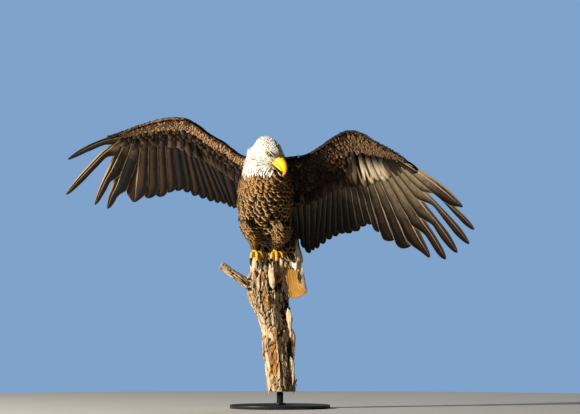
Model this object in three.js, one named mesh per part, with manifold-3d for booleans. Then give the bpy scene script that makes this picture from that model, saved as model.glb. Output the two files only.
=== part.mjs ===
// A life-size bald eagle that has just come to rest on the top of a broken snag, wings half spread and
// drooping, head turned to its left and down. The snag is a short cut length on a plain display stand.
// Millimetres, +Z up. The eagle looks along -Y. The origin is the centre of the stand's underside.

import * as THREE from "three";
import { mergeVertices } from "three/addons/utils/BufferGeometryUtils.js";
import Module from "manifold-3d";

const wasm = await Module();
wasm.setup();

// ---- driving dimensions --------------------------------------------------------------------------

const GAP = 0.4; // clearance between pieces that touch
const LEFT = 1; // the eagle's own left, towards +X
const RIGHT = -1;

const PERCH_TOP = 604; // where the feet grip
const PERCH_FOOT = 66; // where the snag is cut off
const ROD_RADIUS = 13;
const BASE_RADIUS = 200;
const BASE_THICKNESS = 15;

const BODY_X = -52; // the trunk's middle
const HEADING = THREE.MathUtils.degToRad(20); // the body faces this far to its right of -Y
const TRUNK_SIDES = 22;

const HEAD_CENTRE = new THREE.Vector3(-38, -74, 1019);
const HEAD_YAW = THREE.MathUtils.degToRad(50); // from -Y towards the eagle's left
const HEAD_PITCH = THREE.MathUtils.degToRad(34); // nose down
const HEAD_ROLL = THREE.MathUtils.degToRad(4);
const EYE_RADIUS = 8.5;

const FLIGHT_THICKNESS = 4.5; // of the flight feathers where they leave the coverts
const TIP_THICKNESS = 1.1; // and at their tips
const CAMBER = 22; // how far the wings arch back between their leading and trailing edges
const REAR_EDGE = 2.6; // half the thickness of the covert-clad wing at its rear edge

const forward = new THREE.Vector3(-Math.sin(HEADING), -Math.cos(HEADING), 0);
const leftward = new THREE.Vector3(Math.cos(HEADING), -Math.sin(HEADING), 0);
const upward = new THREE.Vector3(0, 0, 1);

// ---- materials -----------------------------------------------------------------------------------

const finish = (color, roughness, metalness = 0) =>
  new THREE.MeshStandardMaterial({ color, roughness, metalness });

const bodyFeathers = finish(0x4a3222, 0.85);
const headFeathers = finish(0xf2ede0, 0.85);
const flightFeathers = finish(0x3a2f28, 0.6);
const tailFeathers = finish(0xd9c08c, 0.75);
const hornYellow = finish(0xf2b51c, 0.35);
const skinYellow = finish(0xeec02e, 0.5);
const clawBlack = finish(0x1c1a19, 0.3);
const irisYellow = finish(0xe8d98a, 0.1);
const deadWood = finish(0xa9957c, 0.9);
const darkSteel = finish(0x3c3e40, 0.4, 0.8);

// ---- solids --------------------------------------------------------------------------------------

// The closed geometry as a solid that can be joined and cut.
function solidOf(geometry) {
  const bare = new THREE.BufferGeometry().setAttribute("position", geometry.getAttribute("position"));
  bare.setIndex(geometry.index);
  const merged = mergeVertices(bare, 1e-3);
  return new wasm.Manifold(
    new wasm.Mesh({
      numProp: 3,
      vertProperties: new Float32Array(merged.attributes.position.array),
      triVerts: new Uint32Array(merged.index.array),
    }),
  );
}

// The solid as a geometry for a mesh.
function geometryOf(solid) {
  const mesh = solid.getMesh();
  const geometry = new THREE.BufferGeometry();
  geometry.setAttribute("position", new THREE.BufferAttribute(mesh.vertProperties, 3));
  geometry.setIndex(new THREE.BufferAttribute(mesh.triVerts, 1));
  geometry.computeVertexNormals();
  return geometry;
}

const cutBy = (geometry, ...tools) =>
  geometryOf(tools.reduce((solid, tool) => solid.subtract(solidOf(tool)), solidOf(geometry)));

const joined = (...geometries) =>
  geometryOf(geometries.map(solidOf).reduce((all, solid) => all.add(solid)));

// The largest of a solid's separate bodies, for a cut that leaves crumbs behind.
const mainBody = (geometry) =>
  geometryOf(
    solidOf(geometry)
      .decompose()
      .sort((a, b) => b.volume() - a.volume())[0],
  );

function meshOf(name, geometry, material) {
  const mesh = new THREE.Mesh(geometry, material);
  mesh.name = name;
  return mesh;
}

// A cylinder whose every vertex is moved: place(along, angle, rim) gives its new position, with along
// from 0 to 1, angle round the section, and rim 0 at the middle of either end and 1 elsewhere.
function reshapedCylinder(sides, rings, place) {
  const geometry = new THREE.CylinderGeometry(1, 1, 1, sides, rings);
  const position = geometry.getAttribute("position");
  const vertex = new THREE.Vector3();
  for (let i = 0; i < position.count; i++) {
    vertex.fromBufferAttribute(position, i);
    const rim = Math.round(Math.hypot(vertex.x, vertex.z));
    const moved = place(0.5 - vertex.y, rim ? Math.atan2(vertex.z, vertex.x) : 0, rim);
    position.setXYZ(i, moved.x, moved.y, moved.z);
  }
  return facingOut(geometry);
}

// The geometry with its faces turned round if they point inwards.
function facingOut(geometry) {
  const bare = new THREE.BufferGeometry().setAttribute("position", geometry.getAttribute("position"));
  bare.setIndex(geometry.index);
  const merged = mergeVertices(bare, 1e-3);
  const index = merged.index;
  const [a, b, c] = [new THREE.Vector3(), new THREE.Vector3(), new THREE.Vector3()];
  let volume = 0;
  for (let i = 0; i < index.count; i += 3) {
    a.fromBufferAttribute(merged.attributes.position, index.getX(i));
    b.fromBufferAttribute(merged.attributes.position, index.getX(i + 1));
    c.fromBufferAttribute(merged.attributes.position, index.getX(i + 2));
    volume += a.dot(b.cross(c));
  }
  if (volume < 0) {
    for (let i = 0; i < index.count; i += 3) {
      const kept = index.getX(i + 1);
      index.setX(i + 1, index.getX(i + 2));
      index.setX(i + 2, kept);
    }
  }
  merged.computeVertexNormals();
  return merged;
}

// A smooth body through stations { at, wide, deep }: half widths across, and half depths square to both
// across and the body's own line. grow makes it that much fatter and longer.
function loft(stations, across, { sides = 16, rings = 10, grow = 0, relief = () => 1 } = {}) {
  const line = new THREE.CatmullRomCurve3(stations.map((s) => s.at));
  const sizes = new THREE.CatmullRomCurve3(stations.map((s) => new THREE.Vector3(s.wide, s.deep, 0)));
  return reshapedCylinder(sides, rings, (along, angle, rim) => {
    const tangent = line.getTangent(along);
    const side = across.clone().addScaledVector(tangent, -across.dot(tangent)).normalize();
    const depth = new THREE.Vector3().crossVectors(tangent, side);
    const size = sizes.getPoint(along);
    const swell = relief(along, angle);
    const end = along === 0 ? -grow : along === 1 ? grow : 0;
    return line
      .getPoint(along)
      .addScaledVector(tangent, end)
      .addScaledVector(side, rim * Math.cos(angle) * (size.x * swell + grow))
      .addScaledVector(depth, rim * Math.sin(angle) * (size.y * swell + grow));
  });
}

const station = (at, wide, deep = wide) => ({ at, wide, deep });

// A point in the body's own directions: left of its middle, ahead of it, and above the floor.
const inBody = (left, ahead, height) =>
  new THREE.Vector3(BODY_X, 0, height).addScaledVector(leftward, left).addScaledVector(forward, ahead);

// An axis-aligned box, turned so that its top faces along normal and passes through point.
function halfSpace(point, normal) {
  const size = 2000;
  const box = new THREE.BoxGeometry(size, size, size);
  box.translate(0, 0, -size / 2);
  box.applyQuaternion(new THREE.Quaternion().setFromUnitVectors(upward, normal.clone().normalize()));
  return box.translate(point.x, point.y, point.z);
}

// ---- trunk, neck and rump, modelled whole and parted by two thin cuts -----------------------------

const torsoStations = [
  station(inBody(-4, -150, 606), 56, 6),
  station(inBody(-12, -138, 644), 78, 22),
  station(inBody(-14, -112, 690), 90, 44),
  station(inBody(-26, -76, 738), 105, 71),
  station(inBody(-25, -38, 792), 118, 90),
  station(inBody(-8, -6, 856), 115, 95),
  station(inBody(-4, 16, 912), 112, 90),
  station(inBody(-8, 34, 956), 88, 76),
  station(inBody(-12, 49, 988), 70, 64),
  station(inBody(-14, 56, 1018), 56, 56),
  station(inBody(-4, 64, 1038), 36, 38),
];

const torso = (grow = 0) => loft(torsoStations, leftward, { sides: TRUNK_SIDES, rings: 14, grow });

const NECK_CUT = inBody(-10, 38, 962);
const RUMP_CUT = inBody(0, -92, 730);
const neckUp = new THREE.Vector3(0, 0, 1).addScaledVector(forward, 0.42).normalize();
const rumpUp = new THREE.Vector3(0, 0, 1).addScaledVector(forward, 1.1).normalize();

// ---- head ----------------------------------------------------------------------------------------

// In the head's own frame: +X to its left, -Y ahead, +Z up, the origin in the middle of the skull.
const skullStations = [
  station(new THREE.Vector3(0, 72, -12), 22, 24),
  station(new THREE.Vector3(0, 58, -8), 46, 49),
  station(new THREE.Vector3(0, 28, -3), 55, 57),
  station(new THREE.Vector3(0, -4, 0), 53, 54),
  station(new THREE.Vector3(0, -30, -2), 44, 45),
  station(new THREE.Vector3(0, -48, -7), 27, 29),
  station(new THREE.Vector3(0, -56, -10), 19, 21),
];

const billStations = [
  station(new THREE.Vector3(0, -36, -4), 16, 19),
  station(new THREE.Vector3(0, -58, -4), 15.5, 20),
  station(new THREE.Vector3(0, -80, -5), 12.5, 18),
  station(new THREE.Vector3(0, -98, -13), 9, 13.5),
  station(new THREE.Vector3(0, -108, -28), 5, 8),
  station(new THREE.Vector3(0, -108, -43), 0.8, 1.2),
];

const mandibleStations = [
  station(new THREE.Vector3(0, -34, -25), 13, 6),
  station(new THREE.Vector3(0, -62, -27), 11, 7),
  station(new THREE.Vector3(0, -84, -29), 8, 6),
  station(new THREE.Vector3(0, -96, -31), 3.5, 2.8),
];

const sideways = new THREE.Vector3(1, 0, 0);
const EYE_PLACE = new THREE.Vector3(38, -29, 6);
const BROW_PLACE = new THREE.Vector3(33, -31, 17);

const skull = (grow = 0) => {
  const brows = [LEFT, RIGHT].map((side) =>
    new THREE.SphereGeometry(1, 8, 5)
      .scale(8 + grow, 22 + grow, 6.5 + grow)
      .rotateZ(side * -0.5)
      .translate(side * BROW_PLACE.x, BROW_PLACE.y, BROW_PLACE.z),
  );
  return joined(loft(skullStations, sideways, { sides: 16, rings: 7, grow }), ...brows);
};

const upperBill = (grow = 0) => loft(billStations, sideways, { sides: 12, rings: 10, grow });
const lowerBill = (grow = 0) => loft(mandibleStations, sideways, { sides: 10, rings: 5, grow });

const eyeball = (side, grow = 0) =>
  new THREE.SphereGeometry(EYE_RADIUS + grow, 12, 8).translate(
    side * EYE_PLACE.x,
    EYE_PLACE.y,
    EYE_PLACE.z,
  );

function buildHead() {
  const head = new THREE.Group();
  const sockets = [LEFT, RIGHT].map((side) => eyeball(side, GAP));
  head.add(meshOf("head", cutBy(skull(), ...sockets), headFeathers));
  head.add(meshOf("bill_upper", cutBy(upperBill(), skull(GAP)), hornYellow));
  head.add(meshOf("bill_lower", mainBody(cutBy(lowerBill(), skull(GAP), upperBill(GAP))), hornYellow));
  head.add(meshOf("eye_left", eyeball(LEFT), irisYellow));
  head.add(meshOf("eye_right", eyeball(RIGHT), irisYellow));
  head.rotation.set(HEAD_PITCH, HEAD_ROLL, HEAD_YAW, "ZXY");
  head.position.copy(HEAD_CENTRE);
  head.updateMatrixWorld(true);
  return head;
}

// ---- wings ---------------------------------------------------------------------------------------

// Each wing is laid out as seen from ahead, x outwards from the trunk's middle and z up, and bent back
// by its depth function. A wing leans: lean is how far back it goes for each millimetre down, and sweep
// for each millimetre out.
const wingPlans = {
  left: {
    side: LEFT,
    shoulder: { x: 66, y: -14, z: 1000 },
    lean: 0.38,
    sweep: -0.04,
    curl: 26,
    reach: 640,
    chord: 380,
    thickness: 1,
    leading: [
      [40, 1000],
      [98, 1006],
      [154, 1015],
      [214, 1049],
      [268, 1086],
      [317, 1107],
      [368, 1095],
      [430, 1060],
      [486, 1032],
      [548, 996],
    ],
    coverts: [
      [60, 838],
      [112, 838],
      [160, 852],
      [212, 872],
      [270, 902],
      [318, 926],
      [372, 948],
      [428, 962],
      [484, 972],
      [534, 978],
    ],
    elbow: 3.2,
    wrist: 5.4,
    partings: [0.86, 0.86, 0.84, 0.76, 0.68, 0.68, 0.7, 0.76, 0.78],
    bow: 0.035,
    primaryTips: [
      [419, 736],
      [450, 706],
      [509, 672],
      [570, 644],
      [649, 600],
      [713, 593],
      [760, 619],
      [808, 654],
      [828, 711],
      [782, 801],
    ],
    secondaryTips: [
      [200, 640],
      [236, 666],
      [271, 686],
      [310, 700],
      [350, 702],
      [392, 728],
    ],
    tertialTips: [
      [131, 678],
      [149, 642],
      [172, 621],
      [186, 632],
    ],
  },
  right: {
    side: RIGHT,
    shoulder: { x: 70, y: 26, z: 1010 },
    lean: 0.95,
    sweep: 0.22,
    curl: 22,
    reach: 560,
    chord: 280,
    thickness: 1.3,
    leading: [
      [28, 986],
      [112, 1020],
      [162, 1059],
      [232, 1100],
      [300, 1146],
      [350, 1157],
      [424, 1151],
      [530, 1126],
      [598, 1104],
      [640, 1091],
    ],
    coverts: [
      [46, 903],
      [116, 908],
      [166, 936],
      [226, 970],
      [286, 1004],
      [340, 1026],
      [404, 1042],
      [470, 1052],
      [546, 1064],
      [612, 1076],
    ],
    elbow: 3,
    wrist: 5,
    partings: [0.9, 0.9, 0.9, 0.88, 0.88, 0.86, 0.76, 0.16, 0.1],
    bow: 0.012,
    primaryTips: [
      [325, 870],
      [364, 876],
      [401, 870],
      [438, 853],
      [488, 848],
      [543, 833],
      [652, 806],
      [706, 822],
      [824, 862],
      [808, 1000],
    ],
    secondaryTips: [
      [150, 812],
      [180, 827],
      [215, 830],
      [250, 843],
      [295, 856],
    ],
    tertialTips: [
      [92, 790],
      [108, 796],
      [122, 800],
      [136, 806],
    ],
  },
};

const WING_RINGS = 6; // steps along each part of a wing
const [SHOULDER, ELBOW, WRIST, HAND_END] = [15, 14, 11, 5]; // half thicknesses of the covert-clad wing
const PRIMARIES = 10;
const SECONDARIES = 10;
const TERTIALS = 4;
const FINGERS = 6; // the outer primaries, parted for half their length
const FINGER_HALF_WIDTH = 15; // half widths of the vanes
const PRIMARY_HALF_WIDTH = 21;
const SECONDARY_HALF_WIDTH = 17;
const TERTIAL_HALF_WIDTH = 20;
const TERTIAL_PARTING = 0.87; // the share of its length at which each leaves its neighbour
const SECONDARY_PARTING = 0.9;
const NEIGHBOUR_ROOM = 0.46; // the share of the distance between two feathers that each may fill
const ROOT_SHARE = 0.35; // how far the quills start ahead of the coverts' rear edge
const SLIT = 0.005; // half the cut between parts of a wing, in steps of its plan

const planCurve = (points) => new THREE.SplineCurve(points.map(([x, z]) => new THREE.Vector2(x, z)));

// The height of the wing's leading edge at a distance out from the trunk.
function leadingHeight({ leading }, x) {
  const next = leading.findIndex((point) => point[0] > x);
  if (next < 1) {
    return next < 0 ? leading.at(-1)[1] : leading[0][1];
  }
  const [[x0, z0], [x1, z1]] = [leading[next - 1], leading[next]];
  return THREE.MathUtils.mapLinear(x, x0, x1, z0, z1);
}

// The wing's middle surface behind a point of its plan: a leaning plane, arched from front to rear and
// curled forward towards the tips.
function wingDepth(plan, x, z) {
  const { shoulder, lean, sweep, curl, reach, chord } = plan;
  const out = Math.hypot(x - shoulder.x, z - shoulder.z) / reach;
  const back = THREE.MathUtils.clamp((leadingHeight(plan, x) - z) / chord, 0, 1);
  const arch = CAMBER * 4 * back * (1 - back);
  return shoulder.y + sweep * (x - shoulder.x) + lean * (shoulder.z - z) + arch - curl * out * out;
}

const inWing = (plan, x, z, behind = 0) =>
  new THREE.Vector3(BODY_X + plan.side * x, wingDepth(plan, x, z) + behind, z);

// Half the wing's thickness at a share of the way from its leading edge to the coverts' rear edge.
function aerofoil(share, thickness) {
  const bulge = 1.48 * Math.sqrt(share) - 0.63 * share - 1.76 * share ** 2 + 0.93 * share ** 3;
  return thickness * bulge + REAR_EDGE * share;
}

// The covert-clad part of the wing between two places along it, counted in the plan's own points.
function wingSection(plan, from, to, startThickness, endThickness) {
  const leading = planCurve(plan.leading);
  const coverts = planCurve(plan.coverts);
  const last = plan.leading.length - 1;
  return reshapedCylinder(12, WING_RINGS, (along, angle, rim) => {
    const place = THREE.MathUtils.lerp(from, to, along) / last;
    const share = rim ? (1 - Math.cos(angle)) / 2 : 0.4;
    const point = leading.getPoint(place).lerp(coverts.getPoint(place), share);
    const thickness = plan.thickness * THREE.MathUtils.lerp(startThickness, endThickness, along);
    const behind = rim * Math.sign(Math.round(Math.sin(angle) * 1e6)) * aerofoil(share, thickness);
    return inWing(plan, point.x, point.y, behind);
  });
}

// One flight feather's line in the plan: half its vane's width, the share of its length at which it
// leaves the next feather outwards, and how far it bows towards the leading edge for its length.
function quill(root, tip, halfWidth, parting, bow) {
  const length = root.distanceTo(tip);
  const along = tip.clone().sub(root).normalize();
  const outward = new THREE.Vector2(-along.y, along.x);
  return { root, tip, length, along, outward, halfWidth, parting, bow };
}

const onQuill = (feather, share) =>
  feather.root
    .clone()
    .addScaledVector(feather.along, share * feather.length)
    .addScaledVector(feather.outward, 4 * share * (1 - share) * feather.bow * feather.length);

// All the flight feathers of a wing, from the innermost tertial to the outermost primary.
function wingQuills(plan) {
  const coverts = planCurve(plan.coverts);
  const leading = planCurve(plan.leading);
  const last = plan.coverts.length - 1;
  const rootAt = (place) => coverts.getPoint(place).lerp(leading.getPoint(place), ROOT_SHARE);
  const row = (from, to, count, tips, make) =>
    Array.from({ length: count }, (_, i) => {
      const place = THREE.MathUtils.lerp(from, to, (i + 0.5) / count) / last;
      return make(rootAt(place), planCurve(tips).getPoint(i / (count - 1)), i);
    });
  return [
    ...row(0, plan.elbow, TERTIALS, plan.tertialTips, (root, tip) =>
      quill(root, tip, TERTIAL_HALF_WIDTH, TERTIAL_PARTING, 0),
    ),
    ...row(plan.elbow, plan.wrist, SECONDARIES, plan.secondaryTips, (root, tip) =>
      quill(root, tip, SECONDARY_HALF_WIDTH, SECONDARY_PARTING, 0),
    ),
    ...row(plan.wrist, last, PRIMARIES, plan.primaryTips, (root, tip, i) => {
      const halfWidth = i < PRIMARIES - FINGERS ? PRIMARY_HALF_WIDTH : FINGER_HALF_WIDTH;
      const bow = (plan.bow * i) / (PRIMARIES - 1);
      return quill(root, tip, halfWidth, plan.partings[i] ?? 1, bow);
    }),
  ];
}

// Where a feather and the next one outwards part.
const notch = (inner, outer) => onQuill(inner, inner.parting).lerp(onQuill(outer, inner.parting), 0.5);

// The shares of a free end's length and of its half width, from its outer edge round the tip.
const FREE_END = [
  [0.35, 1],
  [0.8, 0.92],
  [0.96, 0.56],
  [1, 0],
  [0.96, -0.56],
  [0.8, -0.92],
  [0.35, -1],
];

// The shares of the outermost feather's length where its outer edge bends.
const OUTER_EDGE = [0.3, 0.55, 0.72];

// The outline of a feather's free end, kept clear of its neighbours.
function freeEnd(feather, start, neighbours) {
  return FREE_END.map(([share, width]) => {
    const at = onQuill(feather, start + share * (1 - start));
    const room = neighbours.map((other) => {
      return NEIGHBOUR_ROOM * Math.abs(at.clone().sub(other.root).cross(other.along));
    });
    return at.addScaledVector(feather.outward, Math.min(feather.halfWidth, ...room) * width);
  });
}

// Feathers first to last of a wing as one thin sheet: the line of their roots, then each free end from
// the outermost to the innermost.
function fanShape(rootLine, quills, first, last) {
  const outline = [...rootLine];
  for (let i = last; i >= first; i--) {
    const [inner, feather, outer] = [quills[i - 1], quills[i], quills[i + 1]];
    const start = Math.max(inner ? inner.parting : 0, outer ? feather.parting : 0);
    if (outer && i === last) {
      outline.push(notch(feather, outer).addScaledVector(feather.outward, -GAP));
    }
    if (!outer) {
      const edge = OUTER_EDGE.filter((share) => share < start + FREE_END[0][0] * (1 - start));
      const along = edge.map((share) => onQuill(feather, share));
      outline.push(...along.map((at) => at.addScaledVector(feather.outward, feather.halfWidth)));
    }
    outline.push(...freeEnd(feather, start, [inner, outer].filter(Boolean)));
    if (inner) {
      outline.push(notch(inner, feather).addScaledVector(feather.outward, i === first ? GAP : 0));
    }
  }
  return new THREE.Shape(outline);
}

// Feathers first to last of a wing as a thin sheet bent into it, thinner towards their tips, and
// rooted along the coverts between two places.
function featherFan(plan, quills, first, last, from, to) {
  const coverts = planCurve(plan.coverts);
  const rootLine = [];
  for (let i = 0; i <= WING_RINGS; i++) {
    const place = THREE.MathUtils.lerp(from, to, i / WING_RINGS) / (plan.coverts.length - 1);
    rootLine.push(coverts.getPoint(place).add(new THREE.Vector2(0, -2 * GAP)));
  }
  const shape = fanShape(rootLine, quills, first, last);
  const middle = rootLine[WING_RINGS / 2];
  const reach = Math.max(...quills.slice(first, last + 1).map((feather) => feather.tip.distanceTo(middle)));
  const geometry = new THREE.ExtrudeGeometry(shape, { depth: 1, bevelEnabled: false, curveSegments: 1 });
  const position = geometry.getAttribute("position");
  for (let i = 0; i < position.count; i++) {
    const [x, z, layer] = [position.getX(i), position.getY(i), position.getZ(i)];
    const out = Math.min(1, Math.hypot(x - middle.x, z - middle.y) / reach);
    const thickness = plan.thickness * THREE.MathUtils.lerp(FLIGHT_THICKNESS, TIP_THICKNESS, out);
    const placed = inWing(plan, x, z, (layer - 0.5) * thickness);
    position.setXYZ(i, placed.x, placed.y, placed.z);
  }
  return facingOut(geometry);
}

function buildWing(name, plan) {
  const wing = new THREE.Group();
  const end = plan.leading.length - 1;
  const body = torso(GAP);
  const part = (piece, geometry, material) =>
    wing.add(meshOf(`${piece}_${name}`, mainBody(cutBy(geometry, body)), material));
  part("upper_arm", wingSection(plan, 0, plan.elbow - SLIT, SHOULDER, ELBOW), bodyFeathers);
  part("forearm", wingSection(plan, plan.elbow + SLIT, plan.wrist - SLIT, ELBOW, WRIST), bodyFeathers);
  part("hand", wingSection(plan, plan.wrist + SLIT, end, WRIST, HAND_END), bodyFeathers);
  const quills = wingQuills(plan);
  const elbowQuill = TERTIALS;
  const wristQuill = TERTIALS + SECONDARIES;
  const fans = [
    ["tertials", 0, elbowQuill - 1, 0, plan.elbow - SLIT],
    ["secondaries", elbowQuill, wristQuill - 1, plan.elbow + SLIT, plan.wrist - SLIT],
    ["primaries", wristQuill, quills.length - 1, plan.wrist + SLIT, end],
  ];
  for (const [piece, first, last, from, to] of fans) {
    part(piece, featherFan(plan, quills, first, last, from, to), flightFeathers);
  }
  return wing;
}

// ---- tail ----------------------------------------------------------------------------------------

// In the tail's own frame: +X across, -Z towards the tips, -Y its underside.
const TAIL_BASE = new THREE.Vector3(18, 112, 704);
const TAIL_END = new THREE.Vector3(50, 196, 438);
const TAIL_FEATHERS = 12;
const TAIL_ROOT_HALF = 48;
const TAIL_TIP_HALF = 68;
const TAIL_HALF_VANE = 16;
const TAIL_PARTING = 0.93;
const TAIL_ROUNDING = 0.05; // how much shorter the outermost feathers are
const TAIL_ROOT_EDGE = 1.15; // how far the sheet reaches past the outermost quills at its root
const TAIL_THICKNESS = 9;
const TAIL_TIP_THICKNESS = 1.6;
const TAIL_ARCH = 0.0022; // how far its edges curve forward, for each millimetre out squared

function buildTail() {
  const length = TAIL_BASE.distanceTo(TAIL_END);
  const quills = Array.from({ length: TAIL_FEATHERS }, (_, i) => {
    const across = (2 * i) / (TAIL_FEATHERS - 1) - 1;
    const tip = new THREE.Vector2(across * TAIL_TIP_HALF, -length * (1 - TAIL_ROUNDING * across * across));
    return quill(new THREE.Vector2(across * TAIL_ROOT_HALF, 0), tip, TAIL_HALF_VANE, TAIL_PARTING, 0);
  });
  const rootLine = [-TAIL_ROOT_EDGE, -0.5, 0, 0.5, TAIL_ROOT_EDGE].map(
    (share) => new THREE.Vector2(share * TAIL_ROOT_HALF, 0),
  );
  const shape = fanShape(rootLine, quills, 0, TAIL_FEATHERS - 1);
  const geometry = new THREE.ExtrudeGeometry(shape, { depth: 1, bevelEnabled: false });
  const position = geometry.getAttribute("position");
  for (let i = 0; i < position.count; i++) {
    const [x, z, layer] = [position.getX(i), position.getY(i), position.getZ(i)];
    const thickness = THREE.MathUtils.lerp(TAIL_THICKNESS, TAIL_TIP_THICKNESS, -z / length);
    position.setXYZ(i, x, -(layer - 0.5) * thickness - TAIL_ARCH * x * x, z);
  }
  const down = TAIL_END.clone().sub(TAIL_BASE).normalize();
  const across = leftward.clone().addScaledVector(down, -leftward.dot(down)).normalize();
  const back = new THREE.Vector3().crossVectors(down, across).negate();
  const frame = new THREE.Matrix4().makeBasis(across, back, down.clone().negate());
  return facingOut(geometry.applyMatrix4(frame).translate(...TAIL_BASE.toArray()));
}

// ---- perch ---------------------------------------------------------------------------------------

const perchStations = [
  station(new THREE.Vector3(5, 6, PERCH_FOOT - 15), 59, 53),
  station(new THREE.Vector3(0, 6, 140), 59, 53),
  station(new THREE.Vector3(-9, 6, 228), 60, 53),
  station(new THREE.Vector3(-20, 5, 344), 60, 54),
  station(new THREE.Vector3(-38, 4, 416), 76, 61),
  station(new THREE.Vector3(-52, 3, 464), 86, 66),
  station(new THREE.Vector3(-54, 2, 532), 72, 64),
  station(new THREE.Vector3(-57, 2, PERCH_TOP), 64, 60),
];

const stubStations = [
  station(new THREE.Vector3(-70, 0, 446), 36, 32),
  station(new THREE.Vector3(-112, -4, 483), 29, 27),
  station(new THREE.Vector3(-172, -8, 524), 22, 21),
  station(new THREE.Vector3(-238, -12, 572), 19, 18),
];

const SPLINTER_ROOT = 6; // how deep the splinters stand in the broken top
const SPLINTERS = [
  { x: -42, y: -40, height: 28, radius: 13 },
  { x: -62, y: 24, height: 24, radius: 15 },
  { x: -20, y: 38, height: 30, radius: 15 },
  { x: -100, y: 34, height: 20, radius: 13 },
];

// Ridges and cracks that run up the weathered wood, twisting a little.
const grain = (along, angle) =>
  1 + 0.05 * Math.sin(3 * angle + 2 * along) + 0.04 * Math.sin(7 * angle - 3 * along + 1);

function perchWood(grow = 0) {
  const across = new THREE.Vector3(1, 0, 0);
  const stem = loft(perchStations, across, { sides: 18, rings: 10, grow, relief: grain });
  const stub = loft(stubStations, new THREE.Vector3(0, 1, 0), { sides: 10, rings: 4, grow });
  const splinters = SPLINTERS.map(({ x, y, height, radius }) =>
    new THREE.ConeGeometry(radius + grow, height + 2 * grow, 6)
      .rotateX(Math.PI / 2)
      .translate(x, y, PERCH_TOP + height / 2 - SPLINTER_ROOT),
  );
  const foot = halfSpace(new THREE.Vector3(0, 0, PERCH_FOOT - grow), upward);
  return cutBy(joined(stem, stub, ...splinters), foot);
}

// ---- legs ----------------------------------------------------------------------------------------

const legs = {
  left: { thigh: [4, 4, 762], knee: [0, -14, 692], ankle: [-16, -2, 634], turn: 0.1, spread: 1 },
  right: { thigh: [-114, 14, 768], knee: [-106, -4, 700], ankle: [-98, 2, 632], turn: 0.1, spread: -1 },
};

const TOE_RADIUS = 8;
const TOE_RADII = [TOE_RADIUS + 1, TOE_RADIUS, TOE_RADIUS - 0.5, TOE_RADIUS - 2];
const TALON_RADII = [5.4, 4.8, 2.9, 0.5];
const TALON_LENGTH = 34;
const FOOT_HEIGHT = PERCH_TOP + TOE_RADIUS + 1;

// In a foot's own frame, with the origin where the toes meet and -Y ahead: each toe's joints, and its
// talon's points from the last joint to the claw's tip.
const TOES = [
  { name: "inner", heading: -0.4, reach: 58, drop: 20, hook: 33 },
  { name: "middle", heading: -0.03, reach: 64, drop: 28, hook: 34 },
  { name: "outer", heading: 0.36, reach: 59, drop: 18, hook: 32 },
  { name: "hind", heading: Math.PI - 0.2, reach: 42, drop: 1, hook: 8 },
];

function toeLine({ heading, reach, drop, hook }) {
  const ahead = new THREE.Vector3(Math.sin(heading), -Math.cos(heading), 0);
  const at = (distance, height) => ahead.clone().multiplyScalar(distance).setZ(height);
  return {
    toe: [at(0, 4), at(0.45 * reach, 5), at(0.85 * reach, 1), at(reach, -drop)],
    talon: [
      at(reach - 1, -drop + 3),
      at(reach + 9 + 0.1 * (TALON_LENGTH - hook), -drop - 0.25 * hook),
      at(reach + 8 + 0.6 * (TALON_LENGTH - hook), -drop - 0.65 * hook),
      at(reach + TALON_LENGTH - hook, -drop - hook),
    ],
  };
}

const tapered = (points, radii) => points.map((point, i) => station(point, radii[i]));
const acrossToe = new THREE.Vector3(0.3, 0.2, 1);

function buildLeg(name, plan) {
  const { thigh, knee, ankle, turn, spread } = plan;
  const [top, middle, low] = [thigh, knee, ankle].map((point) => new THREE.Vector3(...point));
  const foot = new THREE.Vector3(low.x, low.y - 12, FOOT_HEIGHT);
  const placed = (geometry) => geometry.rotateZ(turn).translate(...foot.toArray());
  const thighLoft = (grow = 0) =>
    loft(
      [
        station(top, 40, 48),
        station(middle.clone().lerp(top, 0.45), 51, 60),
        station(middle, 42, 46),
        station(low.clone().lerp(middle, 0.4), 28, 30),
        station(low, 18, 18),
      ],
      leftward,
      { sides: 14, rings: 6, grow },
    );
  const shank = (grow = 0) =>
    loft(
      [station(low.clone().setZ(low.z + 20), 11), station(low, 10.5), station(foot, 12, 13)],
      leftward,
      { sides: 10, rings: 3, grow },
    );
  const toes = TOES.map((toe) => ({ name: toe.name, ...toeLine({ ...toe, heading: toe.heading * spread }) }));
  const toeLoft = (toe, grow = 0) =>
    placed(loft(tapered(toe.toe, TOE_RADII), acrossToe, { sides: 6, rings: 5, grow }));
  const wood = perchWood(GAP);
  const leg = new THREE.Group();
  leg.add(meshOf(`thigh_${name}`, mainBody(cutBy(thighLoft(), torso(GAP))), bodyFeathers));
  const toesJoined = joined(shank(), ...toes.map((toe) => toeLoft(toe)));
  leg.add(meshOf(`foot_${name}`, mainBody(cutBy(toesJoined, thighLoft(GAP), wood)), skinYellow));
  for (const toe of toes) {
    const claw = placed(loft(tapered(toe.talon, TALON_RADII), acrossToe, { sides: 6, rings: 4 }));
    const cut = mainBody(cutBy(claw, toeLoft(toe, GAP), wood));
    leg.add(meshOf(`talon_${toe.name}_${name}`, cut, clawBlack));
  }
  return leg;
}

// ---- stand ---------------------------------------------------------------------------------------

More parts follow.
